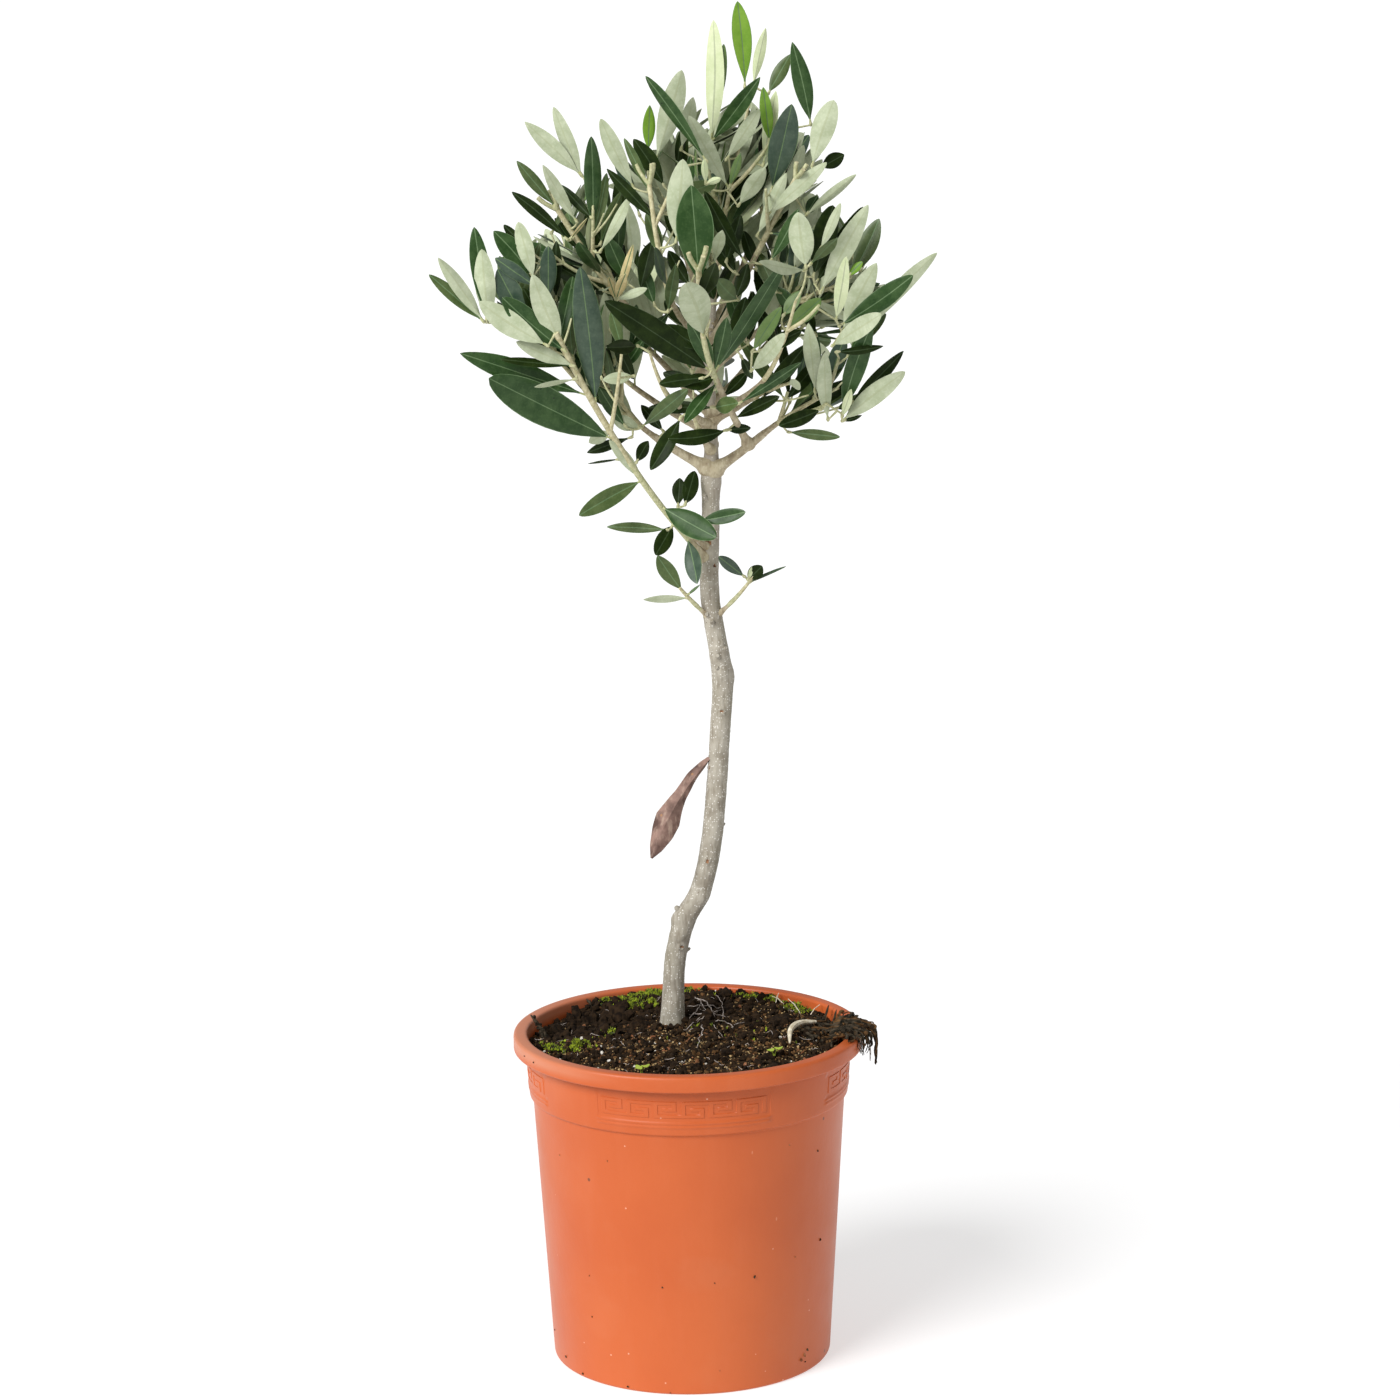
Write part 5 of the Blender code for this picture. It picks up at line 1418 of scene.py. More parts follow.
# Leaves that show best from the front, each on the twig nearest to its foot: where its foot and its tip
# appear in a frame 1400 steps wide, its width there, how far its foot and its tip are in front of the
# pot's axis in millimetres, and the side and tone that it turns to the front
FRAME_STEPS = 1400
# The darkest tone is nearly black: painted shade, given to leaves where the head lies in deep shade.
(UNDER, UNDER_YOUNG, STALK, RIB_ABOVE, RIB_BELOW, DARK_SHADED, DEEP, MID, GREY_WITH_SHEEN, LIGHT, YOUNG, WITHERED,
 RIB_DARK) = range(13)
SHOWING_LEAVES = (
    # Outer left
    (484, 322, 428, 274, 13, 44, 44, MID), (484, 322, 437, 257, 15, 46, 48, UNDER),
    (487, 320, 474, 226, 19, 40, 36, DEEP), (490, 322, 482, 248, 21, 42, 42, UNDER),
    (548, 346, 478, 301, 24, 48, 50, UNDER), (574, 366, 515, 341, 15, 40, 46, UNDER),
    (566, 352, 501, 297, 23, 44, 48, DEEP), (562, 342, 532, 274, 23, 50, 54, UNDER),
    (560, 345, 522, 287, 15, 42, 44, DARK_SHADED), (533, 276, 493, 230, 22, 38, 36, DEEP),
    (537, 287, 494, 258, 15, 42, 44, GREY_WITH_SHEEN), (527, 322, 497, 268, 25, 40, 40, GREY_WITH_SHEEN),
    (536, 278, 518, 221, 17, 38, 36, UNDER), (525, 246, 503, 224, 9, 34, 34, DARK_SHADED),
    (548, 300, 548, 245, 17, 36, 34, GREY_WITH_SHEEN), (556, 300, 556, 240, 12, 30, 28, DARK_SHADED),
    # Upper left
    (561, 207, 516, 160, 13, 30, 34, MID), (568, 240, 511, 191, 13, 32, 38, DARK_SHADED),
    (582, 176, 524, 121, 17, 24, 28, UNDER), (583, 170, 553, 106, 15, 24, 26, UNDER),
    (577, 222, 542, 164, 13, 32, 40, UNDER), (592, 216, 560, 184, 10, 28, 26, DARK_SHADED),
    (592, 234, 592, 136, 18, 34, 38, DEEP), (592, 238, 607, 172, 12, 30, 28, MID),
    (634, 188, 600, 118, 17, 20, 22, UNDER), (662, 222, 606, 168, 13, 42, 46, DARK_SHADED),
    (600, 252, 630, 196, 11, 32, 40, UNDER), (653, 197, 624, 137, 10, 42, 44, MID),
    (665, 187, 633, 138, 18, 30, 26, DARK_SHADED), (648, 152, 650, 104, 13, 20, 16, YOUNG),
    (655, 162, 682, 69, 23, 20, 16, UNDER), (707, 162, 645, 75, 12, 36, 42, DEEP),
    (681, 150, 693, 96, 15, 8, 6, UNDER), (676, 242, 683, 158, 27, 48, 50, UNDER),
    (640, 216, 612, 150, 12, 16, 14, GREY_WITH_SHEEN), (600, 245, 622, 190, 12, 20, 16, MID),
    # Top
    (729, 188, 689, 116, 19, 12, 40, UNDER), (711, 142, 713, 19, 19, -4, -6, UNDER_YOUNG),
    (716, 112, 724, 43, 12, -6, -6, LIGHT), (745, 88, 738, 0, 19, -6, -8, YOUNG),
    (753, 86, 766, 27, 11, -6, -6, UNDER_YOUNG), (717, 142, 761, 76, 17, 4, 20, DEEP),
    (726, 160, 760, 108, 15, 0, 8, UNDER), (768, 94, 791, 53, 14, -8, -10, MID),
    (811, 125, 792, 41, 19, -2, 0, DEEP), (765, 142, 763, 86, 13, -2, 2, YOUNG),
    (763, 166, 776, 90, 14, -4, -2, UNDER_YOUNG), (771, 192, 792, 103, 28, 8, 12, GREY_WITH_SHEEN),
    (731, 182, 741, 152, 9, 10, 14, LIGHT), (738, 206, 766, 167, 17, 8, 14, UNDER),
    # Upper right
    (812, 166, 834, 99, 23, 10, 8, UNDER), (820, 168, 845, 154, 15, 6, 2, DARK_SHADED),
    (773, 213, 827, 162, 15, 14, 24, UNDER), (757, 236, 788, 172, 13, 10, 16, UNDER),
    (806, 215, 857, 173, 10, 12, 20, UNDER), (806, 215, 818, 195, 12, 10, 10, DEEP),
    (806, 268, 798, 211, 25, 50, 56, UNDER), (806, 270, 760, 261, 13, 50, 92, UNDER),
    (813, 277, 833, 204, 25, 44, 44, DARK_SHADED), (820, 250, 841, 202, 10, 50, 52, UNDER),
    (812, 266, 838, 236, 11, 48, 84, MID), (815, 284, 864, 206, 17, 40, 38, DARK_SHADED),
    (820, 293, 869, 204, 21, 44, 44, UNDER), (850, 278, 880, 218, 20, 30, 26, MID),
    (745, 262, 704, 190, 16, 36, 40, DARK_SHADED), (770, 262, 800, 208, 14, 20, 24, DEEP),
    # Outer right
    (836, 320, 846, 257, 15, 46, 78, UNDER_YOUNG), (848, 276, 863, 261, 8, 40, 42, YOUNG),
    (842, 332, 877, 262, 22, 40, 40, UNDER), (838, 326, 914, 275, 21, 42, 44, DEEP),
    (866, 332, 938, 252, 15, 34, 26, UNDER), (832, 346, 881, 314, 19, 46, 80, UNDER),
    (842, 414, 872, 322, 21, 14, 26, DEEP), (836, 352, 884, 346, 9, 30, 22, DARK_SHADED),
    (850, 404, 904, 350, 14, 10, 6, DARK_SHADED), (842, 421, 906, 371, 20, 14, 20, UNDER),
    (843, 417, 852, 388, 9, 16, 22, UNDER_YOUNG), (842, 422, 863, 415, 5, 12, 12, DARK_SHADED),
    (815, 392, 808, 323, 17, 20, 36, UNDER), (828, 420, 824, 350, 16, 12, 34, UNDER),
    (833, 396, 846, 334, 17, 10, 10, GREY_WITH_SHEEN), (788, 432, 841, 437, 11, 2, 14, MID),
    (738, 404, 802, 362, 12, 24, 36, DEEP), (738, 420, 780, 396, 13, 16, 26, DARK_SHADED),
    # Middle
    (716, 376, 786, 263, 18, 38, 60, DEEP), (752, 352, 782, 306, 15, 40, 46, LIGHT),
    (751, 371, 784, 334, 16, 40, 78, UNDER), (762, 354, 803, 330, 15, 36, 46, DARK_SHADED),
    (694, 292, 691, 184, 38, 58, 52, DEEP), (702, 302, 716, 260, 17, 54, 100, DARK_SHADED),
    (714, 264, 723, 228, 12, 44, 78, UNDER), (708, 338, 686, 284, 31, 52, 99, UNDER),
    (712, 379, 688, 318, 17, 38, 50, DEEP), (716, 377, 727, 316, 17, 38, 48, DEEP),
    (712, 378, 603, 300, 28, 40, 62, DARK_SHADED), (706, 352, 662, 325, 18, 44, 40, DARK_SHADED),
    (738, 300, 717, 279, 18, 40, 78, MID), (638, 346, 604, 348, 15, 40, 72, DARK_SHADED),
    (598, 404, 580, 266, 29, 32, 50, GREY_WITH_SHEEN), (703, 378, 658, 384, 14, 38, 44, DARK_SHADED),
    (712, 382, 682, 386, 18, 34, 40, DARK_SHADED), (641, 428, 611, 417, 15, 12, 18, UNDER),
    (626, 427, 598, 386, 14, 16, 20, DEEP), (714, 408, 738, 403, 17, 26, 40, MID),
    (727, 430, 752, 428, 10, 10, 8, DARK_SHADED), (681, 417, 650, 471, 18, 28, 36, DARK_SHADED),
    (640, 432, 689, 388, 16, 6, 44, MID), (727, 430, 667, 439, 16, 20, 34, DARK_SHADED),
    (716, 412, 648, 408, 13, 24, 12, DARK_SHADED), (616, 300, 648, 288, 9, 28, 36, UNDER),
    (612, 300, 634, 243, 9, 32, 36, WITHERED), (612, 300, 608, 276, 8, 32, 36, WITHERED),
    (614, 299, 626, 272, 11, 32, 38, WITHERED), (569, 236, 588, 217, 4, 30, 36, WITHERED),
    (706, 184, 704, 158, 7, 38, 42, UNDER_YOUNG), (709, 188, 722, 178, 7, 38, 42, UNDER_YOUNG),
    (700, 390, 662, 372, 14, 20, 14, DARK_SHADED), (722, 398, 748, 372, 12, 10, 0, DARK_SHADED),
    (664, 432, 640, 404, 12, 0, -6, DARK_SHADED), (735, 300, 748, 262, 15, 10, 6, DARK_SHADED),
    (732, 350, 746, 296, 17, 14, 8, DARK_SHADED), (748, 344, 753, 290, 14, 8, 2, DARK_SHADED),
    (741, 356, 753, 380, 10, 22, 28, DARK_SHADED), (785, 330, 822, 298, 17, 18, 14, LIGHT),
    (783, 316, 801, 290, 14, 16, 12, LIGHT), (829, 378, 843, 334, 17, 6, 2, DARK_SHADED),
    (800, 320, 776, 286, 15, 8, 2, DEEP), (628, 284, 607, 236, 18, 22, 26, DEEP),
    (640, 292, 653, 240, 17, 24, 20, DARK_SHADED), (713, 384, 684, 424, 14, 32, 48, DEEP),
    (634, 376, 602, 380, 12, 30, 34, UNDER), (690, 286, 668, 250, 15, 20, 14, DARK_SHADED),
    (668, 312, 676, 262, 13, 34, 50, MID), (664, 287, 652, 246, 12, 38, 80, GREY_WITH_SHEEN),
    (737, 274, 716, 243, 17, 8, 4, DARK_SHADED), (757, 270, 743, 230, 13, 2, -2, DARK_SHADED),
    (658, 254, 646, 212, 14, 30, 26, MID), (700, 262, 714, 300, 15, 20, 14, DARK_SHADED),
    (742, 336, 728, 290, 15, 4, -2, DEEP), (655, 306, 640, 262, 15, 24, 20, DEEP),
    (610, 330, 634, 380, 13, 26, 14, DARK_SHADED), (646, 336, 626, 366, 11, 20, 12, DEEP),
    (690, 330, 664, 300, 14, 16, 8, DARK_SHADED), (776, 350, 758, 306, 14, 4, -4, DARK_SHADED),
    (816, 336, 800, 296, 14, 4, -4, DARK_SHADED), (621, 352, 611, 310, 12, 41, 44, MID),
    (726, 262, 741, 214, 15, 8, 2, DARK_SHADED), (776, 292, 756, 250, 16, 8, -2, MID),
    (762, 330, 800, 302, 16, 10, 6, DARK_SHADED), (690, 250, 664, 214, 16, 0, -4, DARK_SHADED),
    # Lower left
    (618, 440, 486, 377, 39, 22, 50, DEEP), (588, 395, 458, 354, 23, 34, 46, DEEP),
    (572, 367, 500, 360, 9, 40, 46, DARK_SHADED), (576, 379, 533, 386, 5, 38, 48, UNDER),
    (632, 437, 586, 453, 11, 16, 12, DARK_SHADED), (620, 459, 587, 465, 3, 16, 14, DARK_SHADED),
    (612, 430, 588, 443, 13, 20, 10, UNDER), (641, 483, 609, 440, 12, 12, 24, UNDER),
    (636, 463, 649, 440, 13, 14, 10, DARK_SHADED),
    # Low stem
    (643, 481, 578, 516, 19, 8, 22, MID), (668, 530, 606, 527, 11, 4, 0, MID),
    (674, 525, 655, 556, 17, 4, 12, DARK_SHADED), (665, 503, 717, 538, 25, 6, 26, DEEP),
    (700, 521, 747, 512, 15, 10, 18, DEEP), (678, 507, 680, 477, 14, 0, -4, DARK_SHADED),
    (685, 505, 695, 470, 16, 0, -6, DARK_SHADED), (684, 543, 697, 584, 18, 0, 14, GREY_WITH_SHEEN),
    # Sprouts
    (685, 590, 657, 555, 17, -2, 8, MID), (688, 600, 642, 599, 8, 0, 6, UNDER),
    (690, 592, 701, 584, 3, -2, 0, MID), (745, 577, 718, 556, 12, -4, 6, GREY_WITH_SHEEN),
    (747, 580, 763, 565, 15, -4, -2, DARK_SHADED), (748, 582, 787, 566, 4, -4, -8, GREY_WITH_SHEEN),
    (748, 580, 752, 566, 5, -4, -2, UNDER_YOUNG),
)
# How near a twig has to pass to carry such a leaf without a sprig, and the first of their numbers
SHOWING_REACH = 0.003
SHOWING_FIRST = 5000
HEAD_FRONT = -0.072
SLIMMEST = 0.15
# Where the head ends on both sides, by its height in that frame, and where the sky shows through it
HEAD_SIDES = (
    (95, 700, 775), (120, 690, 800), (140, 640, 825), (160, 600, 830), (200, 570, 815), (220, 545, 850),
    (260, 490, 872), (300, 480, 900), (340, 530, 868), (360, 560, 862), (380, 575, 880), (400, 600, 868),
    (420, 612, 830), (440, 640, 740), (452, 655, 720))
OPEN_SKY = (
    (637, 228, 9), (568, 180, 7), (606, 163, 6), (630, 378, 8), (633, 393, 8), (655, 366, 6), (669, 372, 5),
    (652, 386, 6), (660, 397, 6), (645, 405, 5), (735, 370, 7), (738, 386, 8), (746, 392, 6), (745, 408, 4),
    (768, 363, 6), (785, 350, 8), (797, 348, 4), (772, 418, 6), (783, 414, 4), (706, 298, 3), (724, 350, 4),
    (742, 246, 3), (758, 222, 4), (742, 322, 3), (518, 283, 3), (558, 316, 4), (826, 378, 4), (583, 226, 4))
SKY_MARGIN = 3
COVER_MARGIN = 4
COVER_DEPTH = 0.003
view = Matrix.Translation(CAMERA_PLACE) @ tilt
focus = CAMERA_LENS / 36 * FRAME_STEPS


def in_view(x, y, forward):
    """The point that appears here in the frame, this many millimetres in front of the pot's axis."""
    ray = view.to_3x3() @ Vector(((x - FRAME_STEPS / 2) / focus, (FRAME_STEPS / 2 - y) / focus, -1.0))
    return Vector(CAMERA_PLACE) + ray * ((-0.001 * forward - CAMERA_PLACE[1]) / ray.y)


def appears(point):
    """Where a point appears in the frame."""
    seen = view.inverted() @ point
    return Vector((FRAME_STEPS / 2 - focus * seen.x / seen.z, FRAME_STEPS / 2 + focus * seen.y / seen.z))


def in_place(points):
    """True where all points appear within the head, and none in its openings."""
    heights, lefts, rights = zip(*HEAD_SIDES)
    for point in points:
        spot = appears(point)
        if point.y < HEAD_FRONT or not heights[0] < spot.y < heights[-1]:
            return False
        if not np.interp(spot.y, heights, lefts) < spot.x < np.interp(spot.y, heights, rights):
            return False
        if any((spot - Vector((x, y))).length < reach + SKY_MARGIN for x, y, reach in OPEN_SKY):
            return False
    return True


def nearest_share(spot, low, high):
    """How far along the length between two points another one lies, as a share of it."""
    along = high - low
    return min(1.0, max(0.0, (spot - low).dot(along) / along.length_squared))


def covers(points, showing):
    """True where a point is in front of a leaf that shows."""
    for point in points:
        spot = appears(point)
        for foot, tip, half, near in showing:
            share = nearest_share(spot, foot, tip)
            behind = near[0] + (near[1] - near[0]) * share + COVER_DEPTH
            if (spot - foot - (tip - foot) * share).length < half + COVER_MARGIN and point.y < behind:
                return True
    return False


def nearest(crown, foot):
    """The mass and the point of a bough or twig that lie nearest to a leaf's foot, mostly from the front."""
    best = None
    paths = [(name, limbs[name][0]) for name, *_ in BOUGHS]
    paths += [(name, path) for name in crown for path, _ in crown[name][0] + crown[name][1]]
    for name, path in paths:
        for low, high in zip(path, path[1:]):
            for share in (0.0, 0.25, 0.5, 0.75, 1.0):
                spot = low.lerp(high, share)
                off = spot - foot
                far = math.sqrt(off.x ** 2 + off.z ** 2 + (0.5 * off.y) ** 2)
                if best is None or far < best[0]:
                    best = (far, name, spot)
    return best[1], best[2]


def grow_showing(thicket, crown):
    """The leaves that show best, each on its twig or on a short sprig that runs out to it."""
    rng = random.Random(500)
    showing = []
    for x, y, tip_x, tip_y, width, forward, tip_forward, tone in SHOWING_LEAVES:
        root = in_view(x, y, forward)
        name, spot = nearest(crown, root)
        end = in_view(tip_x, tip_y, tip_forward)
        out = (end - root).normalized()
        beside = math.hypot(spot.x - root.x, spot.z - root.z) < SHOWING_REACH
        if beside and abs(spot.y - root.y) < 3 * SHOWING_REACH:
            root = spot
            out = (end - root).normalized()
        else:
            away = (root - spot).length
            bend = max(0.0, out.dot((root - spot).normalized()))
            middle = spot.lerp(root, 0.5)
            sprig = bent_path(spot, middle + (root - out * 0.5 * away - middle) * bend, root, 4)
            crown[name][1].append((sprig, SHOWING_GIRTHS))
        length = (end - root).length
        width_seen = width / focus * (root - Vector(CAMERA_PLACE)).length
        edge_on = math.acos(min(1.0, width_seen / (SLIMMEST * length)))
        roll = rng.choice((-1, 1)) * min(edge_on, 1.1) if edge_on > 0.35 else rng.uniform(-0.35, 0.35)
        true_width = width_seen / math.cos(roll) / TRUE_WIDTH
        face = Matrix.Rotation(roll, 3, out) @ (Vector(CAMERA_PLACE) - root).normalized()
        under = tone in (UNDER, UNDER_YOUNG)
        placement = leaf_placement(root, out, -face if under else face)
        above = {UNDER: MID, UNDER_YOUNG: LIGHT}.get(tone, tone)
        crown[name][2].append((placement, length, true_width, 0.5, above))
        sizes = stretched(placement, 0.15 * length, 0.8 * length, 0.8 * true_width)
        thicket.add(name, SHOWING_FIRST + len(showing), unit_leaf(sizes), LEAF_FACES)
        showing.append((appears(root), appears(end), 0.5 * width, (root.y, end.y)))
    return showing


def grow_crown():
    """Every mass's twigs and leaves: stems first, then side shoots, then leaves, then finer sprigs."""
    thicket = Thicket()
    thicket.add("trunk", 0, *plain_trunk())
    for name, *_ in BOUGHS:
        thicket.add(f"bough_{name}", 0, *tube(*limbs[name], BOUGH_CAD_SIDES))
    crown = {}
    for name, tip, *_ in MASSES:
        stem = stem_path(name, tip)
        radii = tapered(min(STEM_RADIUS, limbs[carrier(name)][1][-1]), STEM_STEPS)
        thicket.add(name, 0, *tube(stem, radii, TWIG_SIDES))
        crown[name] = ([(stem, radii)], [], [])
    for name, _, shoots, _, seed, _ in MASSES:
        rng = random.Random(seed)
        own = f"bough_{name}" if name in limbs else "trunk"
        twigs = crown[name][0]
        stem, stem_radii = twigs[0]
        for order in range(shoots):
            path = shoot_path(stem, order, shoots, rng)
            radii = tapered(stem_radii[0] * SHOOT_GIRTH, SHOOT_STEPS)
            if in_place(path[-1:]) and grow_shoot(thicket, name, len(twigs), path, radii, own):
                twigs.append((path, radii))
    showing = grow_showing(thicket, crown)
    for name, _, _, length, seed, _ in MASSES:
        rng = random.Random(1000 + seed)
        twigs, _, leaves = crown[name]
        for number, (path, _) in enumerate(twigs):
            turn = rng.uniform(0, 90)
            leaves += dress_twig(thicket, name, number, path, turn, length, rng, showing)
    for name, _, _, length, seed, _ in MASSES:
        twigs, sprigs, leaves = crown[name]
        more, small = grow_sprigs(thicket, name, length, seed, twigs, showing)
        sprigs += more
        leaves += small
    return crown


crown = grow_crown()

# Leaves: narrow blades on short stalks, dark and satin above, felted and pale below, with a thin
# straight rib, a pale margin rolled slightly under, and a small point at the tip
BLADE_ROWS = (0.0, 0.03, 0.06, 0.085, 0.12, 0.17, 0.24, 0.32, 0.41, 0.5, 0.59, 0.68, 0.76, 0.83, 0.89,
              0.94, 0.975, 1.0)
STALK_SHARE = 0.075
STALK_RADIUS = 0.00048
UPPER_COLUMNS = (-1.0, -0.955, -0.55, -0.055, 0.055, 0.55, 0.955, 1.0)
UNDER_COLUMNS = (0.6, 0.1, -0.1, -0.6)
BLADE_THICKNESS = 0.00042
RIB_WIDTH = 0.00024
RIB_GROOVE = 0.00018
RIB_RIDGE = 0.00024


def olive_leaf(length, width, rng, tone, wild=1.0):
    """One leaf along +Y, flat side up: its points, faces and the finish of each face."""
    half = 0.5 * width * TRUE_WIDTH
    bend = wild * rng.choice((rng.uniform(-0.1, 0.05), rng.uniform(-0.02, 0.08)))
    sickle = wild * rng.gauss(0, 0.03)
    fold = rng.uniform(-0.05, 0.4) if wild == 1.0 else rng.uniform(0.05, 0.32)
    curl = rng.uniform(0.0, 0.22)
    twist = wild * rng.gauss(0, 0.3)
    wave = rng.uniform(0.0, 0.05)
    phase = rng.uniform(0, 6.28)
    belly = rng.uniform(0.95, 1.25)
    slim = rng.uniform(0.54, 0.76)
    points = []
    for t in BLADE_ROWS:
        blade = max(0.0, (t - STALK_SHARE) / (1 - STALK_SHARE))
        wide = half * max(0.0, math.sin(math.pi * blade ** belly)) ** slim
        wide *= 1 - 0.5 * math.exp(-blade / 0.1)
        stalk = STALK_RADIUS * max(0.35, 1 - 2.0 * max(0.0, t - STALK_SHARE))
        wide = max(wide, stalk if t < 0.5 else 0.00014)
        thick = BLADE_THICKNESS if t > STALK_SHARE else 2 * STALK_RADIUS
        thick *= 1.0 if t < 0.95 else 0.6
        aside = sickle * length * math.sin(math.pi * t)
        middle = Vector((aside, t * length - LEAF_ROOT, bend * length * t * t))
        lean = twist * t
        over = Vector((math.cos(lean), 0, math.sin(lean)))
        out = Vector((-math.sin(lean), 0, math.cos(lean)))
        rib = RIB_WIDTH / wide if t > STALK_SHARE else 0.2
        for number, u in enumerate(UPPER_COLUMNS + UNDER_COLUMNS):
            above = number < len(UPPER_COLUMNS)
            u = math.copysign(min(0.5, rib), u) if above and abs(u) < 0.1 else u
            rise = fold * abs(u) * wide - curl * u * u * wide + wave * wide * math.sin(9 * t + phase + 2 * u)
            if above:
                rise += 0.5 * thick * (1 - abs(u) ** 4) if abs(u) < 1 else 0.0
                rise -= RIB_GROOVE if abs(u) < 0.1 and t > STALK_SHARE else 0.0
            else:
                rise -= 0.5 * thick + (RIB_RIDGE * (1 - t) if abs(u) < 0.2 else 0.0)
            points.append(middle + over * (u * wide) + out * rise)
    around = len(UPPER_COLUMNS) + len(UNDER_COLUMNS)
    below = UNDER_YOUNG if tone in (LIGHT, YOUNG) else UNDER
    rib_tone = RIB_DARK if tone == DARK_SHADED else RIB_ABOVE
    bands = [rib_tone, tone, tone, rib_tone, tone, tone, rib_tone, below, below, RIB_BELOW, below, below]
    picks = []
    for t in BLADE_ROWS[1:]:
        picks += [STALK] * around if t <= STALK_SHARE + 0.02 else bands
    return points, skin_faces(len(BLADE_ROWS), around), picks + [STALK, below]


def leaf_finish(name, colour, paler, roughness, specular, spots=0.0):
    """A leaf's side: one even green with a fine dusting of paler scales, and dark spots on some."""
    finish = Finish(f"leaf_{name}", Roughness=roughness, Specular_IOR_Level=specular)
    here = finish.place
    broad = here.clouds(190.0, 3.0).above(0.38, 0.24)
    fine = here.clouds(900.0, 3.0).above(0.5, 0.16)
    shade = (broad * 0.65 + fine * 0.35).mixed(colour, paler)
    if spots:
        shade = (here.specks(330.0, 0.17, spots) * 0.8).mixed(shade, (0.008, 0.018, 0.008))
    finish.paint(shade)
    finish.relief(here.clouds(500.0, 3.0), 0.0001, 0.4)
    return finish


leaf_finishes = [
    leaf_finish("under", (0.37, 0.42, 0.268), (0.495, 0.54, 0.382), 0.75, 0.25),
    leaf_finish("under_young", (0.52, 0.59, 0.34), (0.62, 0.67, 0.44), 0.7, 0.25),
    leaf_finish("stalk", (0.36, 0.39, 0.17), (0.47, 0.48, 0.25), 0.6, 0.35),
    leaf_finish("rib_above", (0.085, 0.15, 0.06), (0.13, 0.2, 0.09), 0.5, 0.35),
    leaf_finish("rib_below", (0.35, 0.39, 0.24), (0.43, 0.47, 0.31), 0.65, 0.25),
    # The dark tone is nearly black: painted shade for leaves deep in the head.
    leaf_finish("dark", (0.007, 0.016, 0.0015), (0.018, 0.034, 0.005), 0.45, 0.1),
    leaf_finish("deep", (0.017, 0.05, 0.009), (0.044, 0.09, 0.026), 0.36, 0.26, 0.12),
    leaf_finish("mid", (0.052, 0.086, 0.022), (0.092, 0.132, 0.044), 0.4, 0.28),
    # Grey: a muted blue-grey green, partly the leaves' own grey cast and partly painted sheen of the sky on
    # glossy leaves.
    leaf_finish("grey", (0.028, 0.056, 0.034), (0.064, 0.1, 0.063), 0.34, 0.36),
    leaf_finish("light", (0.11, 0.19, 0.045), (0.15, 0.23, 0.07), 0.44, 0.42),
    leaf_finish("young", (0.125, 0.26, 0.016), (0.175, 0.32, 0.03), 0.4, 0.4),
    leaf_finish("withered", (0.48, 0.39, 0.19), (0.64, 0.55, 0.3), 0.8, 0.2),
    # The rib of the darkest leaves, darkened with them as painted shade.
    leaf_finish("rib_dark", (0.024, 0.044, 0.014), (0.04, 0.066, 0.024), 0.5, 0.2)]

CROWN_AXIS = (0.015, 0.011)
INNER_REACH = 0.07
GREY_SHARE = 0.14
OUTWARD_SHARE = 0.8
TONE_LIMITS = ((DARK_SHADED, 0.2), (DEEP, 0.38), (MID, 0.55), (LIGHT, 0.74))


def leaf_tone(youth, t, middle, rng):
    """One of the upper tones: younger towards a twig's tip and in the young masses, older and darker inside,
    where the darkest tone is painted shade.
    """
    # Leaves deeper in the head get darker tones: painted shade.
    depth = max(0.0, 1.0 - math.hypot(middle.x - CROWN_AXIS[0], middle.y - CROWN_AXIS[1]) / INNER_REACH)
    youngness = rng.gauss(0.05 + 0.6 * youth + 0.2 * t - 0.3 * depth, 0.18)
    if rng.random() < GREY_SHARE:
        return GREY_WITH_SHEEN
    return next((tone for tone, limit in TONE_LIMITS if youngness < limit), YOUNG)


def turned_outwards(placement, length, rng):
    """Most leaves that would show their pale side outwards are turned over on their stalks."""
    middle = placement @ Vector((0, 0.5 * length, 0))
    outward = Vector((middle.x - CROWN_AXIS[0], middle.y - CROWN_AXIS[1], 0.0)).normalized()
    outward += up(0.3)
    upper = placement.to_3x3() @ up(1)
    if upper.dot(outward) < 0 and rng.random() < OUTWARD_SHARE:
        return placement @ Matrix.Rotation(math.pi, 4, "Y")
    return placement


for name, _, _, _, seed, youth in MASSES:
    rng = random.Random(3000 + seed)
    heap = Heap()
    for placement, length, width, t, tone in crown[name][2]:
        if tone is None:
            middle = placement @ Vector((0, 0.5 * length, 0))
            points, faces, picks = olive_leaf(length, width, rng, leaf_tone(youth, t, middle, rng))
            placement = turned_outwards(placement, length, rng)
        else:
            points, faces, picks = olive_leaf(length, width, rng, tone, 0.4)
        heap.add([placement @ point for point in points], faces, picks)
    leaves = heap.piece(f"leaves_{name}_blades", leaf_finishes, sharp=55.0)
    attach(leaves, "root")
    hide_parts(f"leaves_{name}")


# Twigs: pale and downy where young, greyish brown where older, with a pale bud in each leaf's axil
TWIG_SWELL = 1.3
SPRIG_SWELL = 1.1
TRIM_REACH = 0.0012
STUB_PRONGS = 3
STUB_LENGTH = 0.0085
# Stems that stay stout to their ends, those of them that were cut back, and stems still pale all along
STOUT_STEMS = {"front": 0.0014, "right_up": 0.0013, "upper_left": 0.0013, "inner_left": 0.0011,
               "low_left": 0.0015}
CUT_BACK = ("front", "right_up", "upper_left", "inner_left")
PALE_STEMS = ("low_left", "front", "sprout_left", "sprout_right")
BUD_LENGTH = 0.0016

